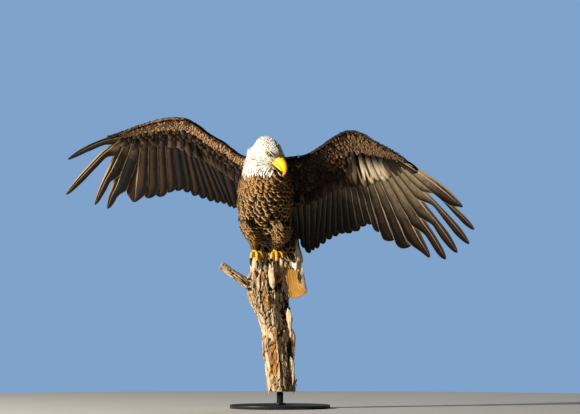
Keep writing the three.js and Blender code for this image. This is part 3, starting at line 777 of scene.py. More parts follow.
def evaluated(source: bpy.types.Object, name: str) -> bpy.types.Object:
    """A plain object of what an object's modifiers make, which takes its place.

    Args:
        source: The object with live modifiers; it is removed.
        name: The new object's name.

    Returns:
        The plain object.
    """
    graph = bpy.context.evaluated_depsgraph_get()
    mesh = bpy.data.meshes.new_from_object(source.evaluated_get(graph), depsgraph=graph)
    bpy.data.objects.remove(source)
    mesh.name = name
    return linked(name, mesh)


def remeshed(nodes: Sequence[str], name: str, voxel: float) -> bpy.types.Object:
    """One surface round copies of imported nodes.

    Args:
        nodes: The nodes, whose loose triangles are merged.
        name: The new object's name.
        voxel: The size of the surface's faces, in metres.

    Returns:
        The plain object.
    """
    joined = bmesh.new()
    for node in nodes:
        joined.from_mesh(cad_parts[node].data)
    bmesh.ops.remove_doubles(joined, verts=joined.verts, dist=1e-6)
    mesh = bpy.data.meshes.new(name)
    joined.to_mesh(mesh)
    joined.free()
    mesh.materials.clear()
    source = linked(f"{name}_source", mesh)
    remesh = source.modifiers.new("remesh", "REMESH")
    remesh.mode = "VOXEL"
    remesh.voxel_size = voxel
    return evaluated(source, name)


# ---- the body's frame ----

MM = 0.001
BODY_X = -52.0
HEADING = math.radians(20)
FORWARD = np.array([-math.sin(HEADING), -math.cos(HEADING), 0.0])
LEFTWARD = np.array([math.cos(HEADING), -math.sin(HEADING), 0.0])
SIDES = {"left": 1, "right": -1}
WING_FLESH = ("upper_arm", "forearm", "hand")
FLESH = (
    ["head", "neck", "trunk", "rump"]
    + [f"{node}_{side}" for side in SIDES for node in WING_FLESH]
    + [f"thigh_{side}" for side in SIDES]
)


def in_body(left: float, ahead: float, height: float) -> Array:
    """A point left of the body's middle, ahead of it and above the floor, in millimetres."""
    return np.array([BODY_X, 0.0, height]) + LEFTWARD * left + FORWARD * ahead


class Trunk:
    """The body's line and the lower cut of its hood, as the solids have them, in millimetres."""

    stations = (
        (-4, -150, 606), (-14, -112, 690), (-25, -38, 792), (-8, -6, 856),
        (-4, 16, 912), (-8, 34, 956), (-12, 49, 988), (-4, 64, 1038),
    )
    line = np.array([in_body(*station) for station in stations])
    hood_cut = in_body(-10, 38, 962)
    hood_up = unit(np.array([0, 0, 1]) + 0.42 * FORWARD)

    @classmethod
    def downward(cls, places: Array) -> Array:
        """The direction of the body's line towards the tail, beside each place in metres."""
        step = 0.02
        low, high = (
            np.stack([np.interp(places[:, 2] + h, cls.line[:, 2] * MM, cls.line[:, k]) for k in range(3)], 1)
            for h in (-step, step)
        )
        return unit(low - high + [0, 0, -1e-3])

    @classmethod
    def above_hood_line(cls, places: Array) -> Array:
        """How far each place, in metres, is above the hood's lower edge."""
        return (places - cls.hood_cut * MM) @ cls.hood_up


class HeadFrame:
    """The head's own frame: +X to its left, -Y ahead, +Z up, in millimetres."""

    centre = np.array([-38.0, -74.0, 1019.0])
    turn = np.array(
        Matrix.Rotation(math.radians(50), 3, "Z")
        @ Matrix.Rotation(math.radians(34), 3, "X")
        @ Matrix.Rotation(math.radians(4), 3, "Y")
    )
    bill_root = np.array([0.0, -58.0, -6.0])
    eye = np.array([38.0, -29.0, 6.0])
    eye_radius = 8.5

    @classmethod
    def out(cls, places: Array) -> Array:
        """Head places in millimetres as model places in metres."""
        return (np.asarray(places, float) @ cls.turn.T + cls.centre) * MM

    @classmethod
    def into(cls, places: Array) -> Array:
        """Model places in metres as head places in millimetres."""
        return (places / MM - cls.centre) @ cls.turn

    @classmethod
    def from_bill(cls, places: Array) -> Array:
        """How far model places are from the bill's root, in millimetres."""
        return np.linalg.norm(cls.into(places) - cls.bill_root, axis=1)

    @classmethod
    def eye_at(cls, side: int) -> Array:
        """The middle of an eye, in the head's frame."""
        return cls.eye * [side, 1, 1]


# ---- skin ----


@dataclass
class Skin:
    """The eagle's skin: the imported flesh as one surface, drawn in by the depth of the coat."""

    voxel: float = 0.0034
    fairing: int = 8
    hip_fairing: int = 90
    hips: tuple[float, ...] = (0.68, 0.72, 0.80, 0.84)
    depth_fairing: int = 12
    last_fairing: int = 4
    depths: dict[str, float] = field(
        default_factory=lambda: {
            "head": 0.0048, "neck": 0.008, "trunk": 0.009, "rump": 0.008, "thigh": 0.0105,
            "upper_arm": 0.003, "forearm": 0.0022, "hand": 0.0016,
        }
    )

    def build(self) -> bpy.types.Object:
        """Makes the skin.

        Returns:
            The skin's object, with hood and lore values and an OFBake map.
        """
        self.object = remeshed(FLESH, "skin", self.voxel)
        mesh = self.object.data
        self.keep_largest(mesh)
        places = smoothed(mesh, coordinates(mesh)[0], self.fairing)
        self.region = np.array(self.nearest_flesh(places))
        hips = np.isin(self.region, ("trunk", "rump", "thigh"))
        hips = hips * ease(places[:, 2], *self.hips[:2]) * (1 - ease(places[:, 2], *self.hips[2:]))
        places += (smoothed(mesh, places, self.hip_fairing) - places) * hips[:, None]
        depth = np.array([self.depths[name] for name in self.region])[:, None]
        depth = smoothed(mesh, np.repeat(depth, 3, axis=1), self.depth_fairing)
        move(mesh, places)
        places, normals = coordinates(mesh)
        places = smoothed(mesh, places - normals * depth, self.last_fairing)
        move(mesh, places)
        torso = np.isin(self.region, ("head", "neck", "trunk"))
        hood = ease(Trunk.above_hood_line(places), -0.006, 0.004) * torso
        set_values(mesh, hood=hood, lore=1 - ease(HeadFrame.from_bill(places), 20, 31))
        clothe(mesh, Finishes.skin)
        self.unwrap()
        self.triangles = corners_of(mesh)
        self.places, self.normals = coordinates(mesh)
        self.maps = column(mesh.uv_layers[BAKE_MAP].data, "uv", 2)[corners_of(mesh, "loops")]
        self.middles = self.places[self.triangles].mean(1)
        self.tree = BVHTree.FromPolygons(self.places.tolist(), self.triangles.tolist())
        return self.object

    @staticmethod
    def keep_largest(mesh: bpy.types.Mesh) -> None:
        """Drops every loose shell but the largest, which must be nearly all of it.

        Args:
            mesh: The mesh.
        """
        shells = bmesh.new()
        shells.from_mesh(mesh)
        left = set(shells.verts)
        largest: set = set()
        while left:
            shell, front = set(), [left.pop()]
            while front:
                vertex = front.pop()
                shell.add(vertex)
                others = {edge.other_vert(vertex) for edge in vertex.link_edges} & left
                left -= others
                front += others
            largest = max(largest, shell, key=len)
        log.info("skin: kept %d of %d vertices", len(largest), len(shells.verts))
        bmesh.ops.delete(shells, geom=[v for v in shells.verts if v not in largest], context="VERTS")
        shells.to_mesh(mesh)
        shells.free()

    @staticmethod
    def nearest_flesh(places: Array) -> list[str]:
        """The kind of flesh node, without its side, nearest to each place.

        Args:
            places: The places, in metres.

        Returns:
            The kinds.
        """
        vertices, faces, owner = [], [], []
        for node in FLESH:
            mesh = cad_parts[node].data
            start = len(vertices)
            vertices += [v.co.copy() for v in mesh.vertices]
            faces += [[i + start for i in face.vertices] for face in mesh.polygons]
            owner += [node.removesuffix("_left").removesuffix("_right")] * len(mesh.polygons)
        tree = BVHTree.FromPolygons(vertices, faces)
        return [owner[tree.find_nearest(Vector(place))[2]] for place in places]

    def unwrap(self) -> None:
        """Unwraps the skin's own shape into the OFBake map."""
        mesh = self.object.data
        while mesh.uv_layers:
            mesh.uv_layers.remove(mesh.uv_layers[0])
        mesh.uv_layers.new(name=BAKE_MAP)
        bpy.context.view_layer.objects.active = self.object
        self.object.select_set(True)
        bpy.ops.object.mode_set(mode="EDIT")
        bpy.ops.mesh.select_all(action="SELECT")
        bpy.ops.uv.smart_project(angle_limit=math.radians(66), island_margin=0.002)
        bpy.ops.object.mode_set(mode="OBJECT")
        self.object.select_set(False)

    def nearest(self, places: Array) -> tuple[Array, Array, Array]:
        """Finds the nearest place on the skin to each place.

        Args:
            places: The places, in metres.

        Returns:
            The skin's places, its normals there and its unwrapped map there.
        """
        found = [self.tree.find_nearest(Vector(place)) for place in places]
        maps = self.maps[[hit[2] for hit in found]].mean(1)
        return np.array([hit[0] for hit in found]), np.array([hit[1] for hit in found]), maps


# ---- small feathers ----


class VaneKind(Enum):
    """Outlines of small feathers: half widths at the stations of Vane."""

    CONTOUR = (0.35, 0.82, 1.0, 0.97, 0.76, 0.45, 0.0)
    HACKLE = (0.45, 0.92, 1.0, 0.78, 0.45, 0.2, 0.0)
    COVERT = (0.4, 0.85, 1.0, 1.0, 0.88, 0.6, 0.0)
    FLAKE = (0.5, 0.95, 0.8, 1.0, 0.5, 0.35, 0.0)


@dataclass(frozen=True)
class Vane:
    """One closed small vane, 1 long along +Z, 1 wide along X, and arched towards +Y."""

    kind: VaneKind
    sway: float = 0.0
    dip: float = 0.035
    arch: float = 0.06
    thickness: float = 0.018
    stations: tuple[float, ...] = (0.0, 0.22, 0.5, 0.72, 0.88, 0.965, 1.0)

    def shape(self) -> Shape:
        """Makes the vane.

        Returns:
            Its rings of four corners, closed by a root face and a tip.
        """
        vertices, maps = [], []
        for along, width in zip(self.stations[:-1], self.kind.value):
            half = width / 2
            middle = self.sway * along * along
            height = -self.dip * along * along
            thick = self.thickness * (1 - 0.7 * along)
            low = height - self.arch * width * half
            ring = ((-half, low), (0, height + thick), (half, low), (0, height - thick))
            vertices += [(middle + x, y, along - 0.1 * abs(x) * along) for x, y in ring]
            maps += [(0.5 + x, along) for x, _ in ring]
        vertices.append((self.sway, -self.dip, 1.0))
        maps.append((0.5, 1.0))
        tip, rings = len(vertices) - 1, len(self.stations) - 1
        top = 4 * (rings - 1)
        faces = [(0, 1, 2, 3)] + [(b, a, d, c) for a, b, c, d in ring_faces(rings - 1, 4)]
        faces += [(top + (k + 1) % 4, top + k, tip) for k in range(4)]
        corners = np.array([maps[i] for face in faces for i in face])
        return Shape(np.array(vertices), faces, {}, {VANE_MAP: corners})


@dataclass
class Spots:
    """Places on a surface, with its normals and its unwrapped map there."""

    places: Array
    out: Array
    maps: Array

    def chosen(self, keep: Array) -> "Spots":
        """The spots that a mask or a list keeps."""
        return Spots(self.places[keep], self.out[keep], self.maps[keep])


@dataclass
class Coat:
    """Small feathers, one row for each."""

    roots: Array
    lie: Array
    out: Array
    size: Array
    tint: Array
    root_map: Array

    @classmethod
    def grown(
        cls, spots: Spots, lie: Array, wide: Array, long: Array, tone: Array, chance: np.random.Generator
    ) -> "Coat":
        """Feathers with a shade and a seed of their own.

        Args:
            spots: Their roots.
            lie: Their directions.
            wide: Their widths.
            long: Their lengths.
            tone: How pale they are.
            chance: Where what is random comes from.

        Returns:
            The coat.
        """
        count = len(tone)
        tint = np.stack([chance.uniform(0, 1, count), tone, chance.uniform(0, 1, count)], 1)
        return cls(spots.places, lie, spots.out, np.stack([wide, long, long], 1), tint, spots.maps)

    @staticmethod
    def joined(coats: Sequence["Coat"]) -> "Coat":
        """Several coats as one."""
        return Coat(*(np.concatenate(rows) for rows in zip(*(vars(coat).values() for coat in coats))))

    def chosen(self, keep: Array) -> "Coat":
        """The feathers that a mask keeps."""
        return Coat(*(rows[keep] for rows in vars(self).values()))


class FeatherSetter(Tree):
    """The Geometry Nodes tree that sets a vane on each point of a mesh."""

    variants = 3
    patch = 0.003
    vectors = ("lie", "across", "size", "root_map")

    def __init__(self) -> None:
        """Builds the tree."""
        super().__init__(bpy.data.node_groups.new("set_feathers", "GeometryNodeTree"))
        names = [f"Vane {i + 1}" for i in range(self.variants)]
        sockets = [("OUTPUT", "Geometry", "Geometry"), ("INPUT", "Geometry", "Geometry")]
        sockets += [("INPUT", name, "Object") for name in names]
        sockets += [("INPUT", "Finish", "Material"), ("INPUT", "Patch", "Float")]
        for way, name, kind in sockets:
            self.tree.interface.new_socket(name, in_out=way, socket_type=f"NodeSocket{kind}")
        given = self.node("NodeGroupInput").socket.node.outputs
        vanes = self.node("GeometryNodeJoinGeometry")
        for name in names:
            source = {"Object": Signal(self, given[name]), "As Instance": True}
            vane = self.node("GeometryNodeObjectInfo", {}, source, "Geometry")
            self.feed(vanes.socket.node.inputs[0], vane)
        lie, across, size, root_map = (self.named(name) for name in self.vectors)
        axes = {"primary_axis": "Z", "secondary_axis": "X"}
        ways = {"Primary Axis": lie, "Secondary Axis": across}
        placing = {
            "Points": Signal(self, given["Geometry"]), "Instance": vanes, "Pick Instance": True,
            "Instance Index": self.named("variant", "INT"), "Scale": size,
            "Rotation": self.node("FunctionNodeAxesToRotation", axes, ways),
        }
        placed = self.node("GeometryNodeInstanceOnPoints", {}, placing)
        real = self.node("GeometryNodeRealizeInstances", {}, {0: placed})
        centred = self.vector_math("SUBTRACT", {0: self.named(VANE_MAP), 1: (0.5, 0.5, 0)})
        scaled = self.vector_math("SCALE", {0: centred, "Scale": Signal(self, given["Patch"])})
        patch = self.vector_math("ADD", {0: root_map, 1: scaled})
        stored = {"Geometry": real, "Name": BAKE_MAP, "Value": patch}
        corner = {"data_type": "FLOAT2", "domain": "CORNER"}
        mapped = self.node("GeometryNodeStoreNamedAttribute", corner, stored)
        finish = {"Geometry": mapped, "Material": Signal(self, given["Finish"])}
        self.node("NodeGroupOutput", {}, {"Geometry": self.node("GeometryNodeSetMaterial", {}, finish)})

    def vector_math(self, operation: str, inputs: dict) -> Signal:
        """The output of a Vector Math node."""
        return self.node("ShaderNodeVectorMath", {"operation": operation}, inputs)

    def named(self, name: str, kind: str = "FLOAT_VECTOR") -> Signal:
        """The output that reads a named value."""
        node = self.node("GeometryNodeInputNamedAttribute", {"data_type": kind}, {"Name": name}).socket.node
        return Signal(self, next(s for s in node.outputs if s.name == "Attribute" and s.enabled))

    def feathers(self, name: str, coat: Coat, vanes: Sequence[Vane], finish: Finish) -> bpy.types.Object:
        """Sets a vane on each place of a coat.

        Args:
            name: The piece's name.
            coat: The places.
            vanes: The variants of the vane.
            finish: Their surface.

        Returns:
            One plain mesh of all the vanes.
        """
        templates = [vane.shape().object(f"{name}_vane_{i}", finish) for i, vane in enumerate(vanes)]
        root_map = np.concatenate([coat.root_map, np.zeros((len(coat.roots), 1))], 1)
        vectors = (coat.lie, np.cross(coat.lie, coat.out), coat.size, root_map)
        values = dict(zip(self.vectors, vectors)) | {"tint": coat.tint}
        points = Shape(coat.roots, [], values).object(f"{name}_roots", finish)
        variant = points.data.attributes.new("variant", "INT", "POINT")
        variant.data.foreach_set("value", np.arange(len(coat.roots), dtype=np.int32) * 7 % self.variants)
        modifier = points.modifiers.new("feathers", "NODES")
        modifier.node_group = self.tree
        items = self.tree.interface.items_tree
        given = {item.name: item.identifier for item in items if item.in_out == "INPUT"}
        for i, template in enumerate(templates):
            modifier[given[f"Vane {i + 1}"]] = template
        modifier[given["Finish"]] = finish.material
        modifier[given["Patch"]] = self.patch
        made = evaluated(points, name)
        for template in templates:
            bpy.data.objects.remove(template)
        for unused in (*self.vectors, "variant"):
            if unused in made.data.attributes:
                made.data.attributes.remove(made.data.attributes[unused])
        return made


Rule = Callable[[Array], Array] | float


def at(rule: Rule, places: Array) -> Array:
    """What a rule gives at places, or its one number for all of them."""
    return rule(places) if callable(rule) else np.full(len(places), rule)


def throw(skin: Skin, wanted: Array, spacing: Rule, chance: np.random.Generator, tries: float = 7.0) -> Spots:
    """Throws darts on the skin so that none lies nearer to another than its own spacing.

    Args:
        skin: The skin.
        wanted: A mask of its triangles.
        spacing: The spacing at places, in metres.
        chance: Where what is random comes from.
        tries: Darts for each feather that would fit.

    Returns:
        The darts that stay.
    """
    triangles, maps = skin.triangles[wanted], skin.maps[wanted]
    corners = skin.places[triangles]
    areas = np.linalg.norm(np.cross(corners[:, 1] - corners[:, 0], corners[:, 2] - corners[:, 0]), axis=1) / 2
    weights = areas / at(spacing, corners.mean(1)) ** 2
    count = int(weights.sum() * tries)
    picked = chance.choice(len(triangles), count, p=weights / weights.sum())
    shares = chance.dirichlet((1, 1, 1), count)[..., None]
    places = (corners[picked] * shares).sum(1)
    gaps = at(spacing, places)
    cell = float(gaps.max())
    cells: dict[tuple[int, int, int], list[int]] = {}
    kept: list[int] = []
    around = [(dx, dy, dz) for dx in (-1, 0, 1) for dy in (-1, 0, 1) for dz in (-1, 0, 1)]
    for i, (place, gap) in enumerate(zip(places.tolist(), gaps.tolist())):
        x, y, z = (int(c // cell) for c in place)
        near = (j for dx, dy, dz in around for j in cells.get((x + dx, y + dy, z + dz), ()))
        if all(math.dist(place, places[j]) > gap for j in near):
            cells.setdefault((x, y, z), []).append(i)
            kept.append(i)
    normals = unit((skin.normals[triangles[picked]] * shares).sum(1))
    return Spots(places, normals, (maps[picked] * shares).sum(1)).chosen(kept)


def lifted(flow: Array, out: Array, lift: Array | float, jitter: Array) -> Array:
    """Directions along a surface, tilted off it.

    Args:
        flow: Wanted directions.
        out: The surface's normals.
        lift: The angle off the surface.
        jitter: The turn about the normal.

    Returns:
        The tilted directions.
    """
    along = unit(flow - out * (flow * out).sum(1, keepdims=True))
    side = np.cross(out, along)
    turned = along * np.cos(jitter)[:, None] + side * np.sin(jitter)[:, None]
    lift = np.broadcast_to(lift, jitter.shape)[:, None]
    return turned * np.cos(lift) + out * np.sin(lift)


@dataclass(frozen=True)
class Nap:
    """How the feathers thrown on part of the body lie: rules for places on the skin, in metres."""

    seed: int
    spacing: Rule
    length: Rule
    width: float
    flow: Callable[[Array], Array]
    lift: Rule
    tone: Rule


@dataclass
class Plumage:
    """The small feathers of head, neck, body and thighs."""

    skin: Skin
    setter: FeatherSetter
    sways: tuple[tuple[float, float], ...] = ((0.04, 0.035), (-0.05, 0.028), (0.0, 0.042))
    face_clear: float = 23
    eye_clear: float = 10.5
    row_seed: int = 29
    thigh_seed: int = 41
    hood_overlap: float = 0.008
    shoulder: float = 0.13

    def vanes(self, kind: VaneKind) -> list[Vane]:
        """The variants of a vane."""
        return [Vane(kind, sway, dip) for sway, dip in self.sways]

    def region(self, *names: str) -> Array:
        """A mask of the skin's triangles over some kinds of flesh."""
        return np.isin(self.skin.region[self.skin.triangles[:, 0]], names)

    def coat(self, wanted: Array, nap: Nap) -> Coat:
        """Throws feathers on part of the skin.

        Args:
            wanted: A mask of its triangles.
            nap: How they lie.

        Returns:
            The coat.
        """
        chance = np.random.default_rng(nap.seed)
        spots = throw(self.skin, wanted, nap.spacing, chance)
        roots, out = spots.places, spots.out
        count = len(roots)
        long = at(nap.length, roots) * chance.uniform(0.86, 1.16, count)
        lift = at(nap.lift, roots) * chance.uniform(0.75, 1.3, count)
        lie = lifted(nap.flow(roots), out, lift, chance.normal(0, 0.12, count))
        wide = long * nap.width * chance.uniform(0.85, 1.15, count)
        coat = Coat.grown(spots, lie, wide, long, at(nap.tone, roots), chance)
        return replace(coat, roots=roots - out * 0.0006)

    def head_flow(self, places: Array) -> Array:
        """Back from the bill on the head, and down the neck below it.

        Args:
            places: The places, in metres.

        Returns:
            The directions.
        """
        head = HeadFrame.into(places)
        away = unit(head - HeadFrame.bill_root + [0, 8, 6]) @ HeadFrame.turn.T
        outward = unit((places - Trunk.hood_cut * MM) * [1, 1, 0])
        share = ease(np.linalg.norm(head, axis=1), 42, 92)[:, None]
        return away * (1 - share) + (Trunk.downward(places) + 0.25 * outward) * share

    def body_flow(self, places: Array) -> Array:
        """Down the body, spreading a little from its middle line."""
        aside = ((places - np.array([BODY_X, 0, 0]) * MM) @ LEFTWARD)[:, None] * LEFTWARD
        return Trunk.downward(places) + 1.6 * aside

    @staticmethod
    def face(places: Array) -> Array:
        """1 at the bill, 0 at the back of the head."""
        return 1 - ease(HeadFrame.from_bill(places), 20, 95)

    @staticmethod
    def mantle(places: Array) -> Array:
        """1 at the hood's lower edge, 0 on the head."""
        return 1 - ease(Trunk.above_hood_line(places), 0.012, 0.07)

    @staticmethod
    def upper(places: Array) -> Array:
        """1 on the upper breast, 0 on the belly and back."""
        return ease(places[:, 2], 0.84, 0.92) * ease(-places[:, 1], -0.02, 0.04)

    def hood(self) -> bpy.types.Object:
        """Makes the white hood: tiny feathers on the face, long pointed ones on the neck.

        Returns:
            The hood.
        """
        middles = self.skin.middles
        wanted = HeadFrame.from_bill(middles) > self.face_clear
        for side in SIDES.values():
            away = np.linalg.norm(HeadFrame.into(middles) - HeadFrame.eye_at(side), axis=1)
            wanted &= away > self.eye_clear
        wanted &= self.region("head", "neck", "trunk") & (Trunk.above_hood_line(middles) > 0.0)
        nap = Nap(
            seed=11,
            spacing=lambda p: 0.0038 - 0.0014 * self.face(p) + 0.0014 * self.mantle(p),
            length=lambda p: 0.015 - 0.0085 * self.face(p) + 0.022 * self.mantle(p),
            width=0.26,
            flow=self.head_flow,
            lift=lambda p: 0.085 + 0.06 * self.mantle(p),
            tone=lambda p: 0.55 + 0.45 * ease(Trunk.above_hood_line(p), 0.0, 0.05),
        )
        coat = self.coat(wanted, nap)
        return self.setter.feathers("hood_feathers", coat, self.vanes(VaneKind.HACKLE), Finishes.hood)

    def rows(
        self, regions: Sequence[str], line: Array, pitches: Sequence, reach: float,
        chance: np.random.Generator,
    ) -> Spots:
        """Places in level rows round a limb, each row set between those of the last.

        Args:
            regions: The kinds of flesh that count.
            line: The limb's middle line, from below, in metres.
            pitches: Heights from below, each with the step between rows and the step along a row.
            reach: How far from the line the skin may be.
            chance: Where what is random comes from.

        Returns:
            The places.
        """
        skin = self.skin
        levels, steps, gaps = zip(*pitches)
        height, row, found = levels[-1], 0, []
        while height > levels[0]:
            axis = Vector([np.interp(height, line[:, 2], line[:, k]) for k in range(3)])
            count = int(2 * math.pi * 0.62 * reach / np.interp(height, levels, gaps))
            turns = (np.arange(count) + 0.5 * (row % 2) + chance.normal(0, 0.16, count)) * 2 * math.pi / count
            for turn in turns:
                aside = Vector((math.cos(turn), math.sin(turn), chance.normal(0, 0.025)))
                place, _, index, distance = skin.tree.ray_cast(axis, aside)
                near = place is not None and distance < reach
                if near and skin.region[skin.triangles[index][0]] in regions:
                    normal = skin.normals[skin.triangles[index]].mean(0)
                    found.append((*place, *normal, *skin.maps[index].mean(0)))
            height -= float(np.interp(height, levels, steps))
            row += 1
        table = np.array(found)
        return Spots(table[:, :3], unit(table[:, 3:6]), table[:, 6:])

    def scallops(self) -> Coat:
        """Makes the rows of overlapping feathers round the body.

        Returns:
            The coat.
        """
        chance = np.random.default_rng(self.row_seed)
        pitches = ((0.63, 0.015, 0.021), (0.76, 0.0155, 0.0215), (0.86, 0.014, 0.019), (0.985, 0.0105, 0.013))
        regions = ("neck", "trunk", "rump", "upper_arm", "thigh")
        spots = self.rows(regions, Trunk.line * MM, pitches, 0.17, chance)
        x, y, z = spots.places.T
        keep = (Trunk.above_hood_line(spots.places) < self.hood_overlap) & (np.abs(spots.out[:, 2]) < 0.75)
        spots = spots.chosen(keep & (z > 0.735 - 0.12 * (y > 0.02)))
        roots, out = spots.places, spots.out
        count = len(roots)
        upper = self.upper(roots)
        # Painted light: feathers on the eagle's right side, which faces the key light, get a paler tone.
        right = 0.2 + 0.8 * ease(-roots[:, 0], -0.02, 0.11)
        tone = np.clip(0.1 + 0.9 * upper * right + chance.normal(0, 0.1, count), 0, 1)
        long = (0.043 - 0.011 * upper) * chance.uniform(0.93, 1.07, count)
        wide = long * (0.7 - 0.1 * upper) * chance.uniform(0.93, 1.07, count)
        under = np.clip(-out[:, 2], 0, 0.6) * ease(-out[:, 1], 0.35, 0.7)
        long *= 1 + 0.5 * under
        lift = 0.11 * chance.uniform(0.85, 1.2, count) + 0.85 * under
        lie = lifted(self.body_flow(roots), out, lift, chance.normal(0, 0.06 + 0.04 * upper, count))
        return Coat.grown(spots, lie, wide, long, tone, chance)

    def breast(self) -> bpy.types.Object:
        """Makes the scalloped feathers of the body, and filling feathers where its rows don't reach.

        Returns:
            The feathers.
        """
        middles = self.skin.middles
        wanted = self.region("neck", "trunk", "rump", "upper_arm")
        wanted &= Trunk.above_hood_line(middles) < self.hood_overlap
        wanted &= ~(self.region("upper_arm") & (np.abs(middles[:, 0] - BODY_X * MM) > self.shoulder))
        nap = Nap(
            seed=23,
            spacing=lambda p: 0.018 - 0.004 * self.upper(p),
            length=lambda p: 0.036 - 0.006 * self.upper(p),
            width=0.7,
            flow=self.body_flow,
            lift=0.07,
            tone=lambda p: 0.15 + 0.3 * self.upper(p),
        )
        coat = Coat.joined([self.coat(wanted, nap), self.scallops()])
        return self.setter.feathers("breast_feathers", coat, self.vanes(VaneKind.CONTOUR), Finishes.breast)

    def leg_line(self, side: int) -> tuple[Array, float]:
        """The middle line of a thigh, from below.

        Args:
            side: 1 for the left, -1 for the right.

        Returns:
            Its points, in metres, with a last one inside the hip, and the height of the ankle.
        """
        places = self.skin.places
        own = (self.skin.region == "thigh") & ((places[:, 0] - BODY_X * MM) * side > 0)
        levels = np.linspace(places[own, 2].min() + 0.004, 0.745, 16)
        line = np.array([places[own & (np.abs(places[:, 2] - z) < 0.012)].mean(0) for z in levels])
        line = np.concatenate([line, line[-1:] + [[0.0, 0.02, 0.045]]])
        return line, levels[0]

    def thighs(self) -> bpy.types.Object:
        """Makes the soft small feathers of the thighs, down to the ankles.

        Returns:
            The feathers.
        """
        chance = np.random.default_rng(self.thigh_seed)
        nap = Nap(37, 0.0125, 0.026, 0.7, lambda p: np.tile([0.05, 0.1, -1.0], (len(p), 1)), 0.09, 0.15)
        coats = [self.coat(self.region("thigh"), nap)]
        for side in SIDES.values():
            line, ankle = self.leg_line(side)
            pitches = ((ankle, 0.0085, 0.010), (0.70, 0.0115, 0.014), (0.788, 0.0125, 0.017))
            spots = self.rows(("thigh", "trunk"), line, pitches, 0.085, chance)
            spots = spots.chosen(spots.out[:, 2] < 0.55)
            count = len(spots.places)
            long = np.interp(spots.places[:, 2], (ankle, 0.70, 0.79), (0.022, 0.034, 0.043))
            long = long * chance.uniform(0.93, 1.07, count)
            flow = np.tile([0.03, 0.06, -1.0], (count, 1))
            lift = 0.13 * chance.uniform(0.85, 1.2, count)
            lie = lifted(flow, spots.out, lift, chance.normal(0, 0.07, count))
            tone = np.clip(0.15 + 0.2 * (side > 0) + chance.normal(0, 0.06, count), 0, 1)
            coats.append(Coat.grown(spots, lie, long * 0.64, long, tone, chance))
        vanes = self.vanes(VaneKind.CONTOUR)
        return self.setter.feathers("thigh_feathers", Coat.joined(coats), vanes, Finishes.thigh)

    def build(self) -> None:
        """Makes and hands over the three coats."""
        adopt(self.hood(), "head_feathers")
        adopt(self.breast(), "body_feathers")
        adopt(self.thighs(), "body_feathers")


# ---- long feathers ----

Sheet = Callable[[Array, Array, Array], Array]


@dataclass(frozen=True)
class Quill:
    """The line of a long feather in the plan of its wing or tail, in millimetres."""

    root: Array
    tip: Array
    half_width: float
    parting: float
    bow: float = 0.0

    @cached_property
    def length(self) -> float:
        """The feather's length."""
        return float(np.linalg.norm(self.tip - self.root))

    @cached_property
    def along(self) -> Array:
        """The direction from root to tip."""
        return (self.tip - self.root) / self.length

    @cached_property
    def outward(self) -> Array:
        """The direction towards the leading edge."""
        return np.array([-self.along[1], self.along[0]])

    def at(self, share: Array) -> Array:
        """Points at shares of its length."""
        share = np.asarray(share, float)[..., None]
        bend = 4 * share * (1 - share) * self.bow * self.length
        return self.root + self.along * share * self.length + self.outward * bend

    def share_of(self, point: Array) -> float:
        """How far along the quill a point lies, as a share of its length."""
        return float((point - self.root) @ self.along) / self.length

    def distance(self, points: Array) -> Array:
        """How far points are from the quill's straight line."""
        aside = points - self.root
        return np.abs(aside[..., 0] * self.along[1] - aside[..., 1] * self.along[0])


@dataclass(frozen=True)
class Look:
    """How a long feather is made: sizes in millimetres, and what is worn off it."""

    shaft: float = 2.0
    vane: float = 0.6
    tip_length: float = 34.0
    tip_power: float = 2.3
    pale: float = 0.5
    slate: float = 0.5
    notches: int = 0
    notch_depth: float = 0.4
    notch_span: tuple[float, float] = (0.6, 0.97)
    swell: float = 3.0
    lap: float = 0.14
    level: float = 0.0
    inner_limit: float = 62.0
    outer_limit: float = 40.0
    inner_reach: float = 0.93
    outer_reach: float = 0.5


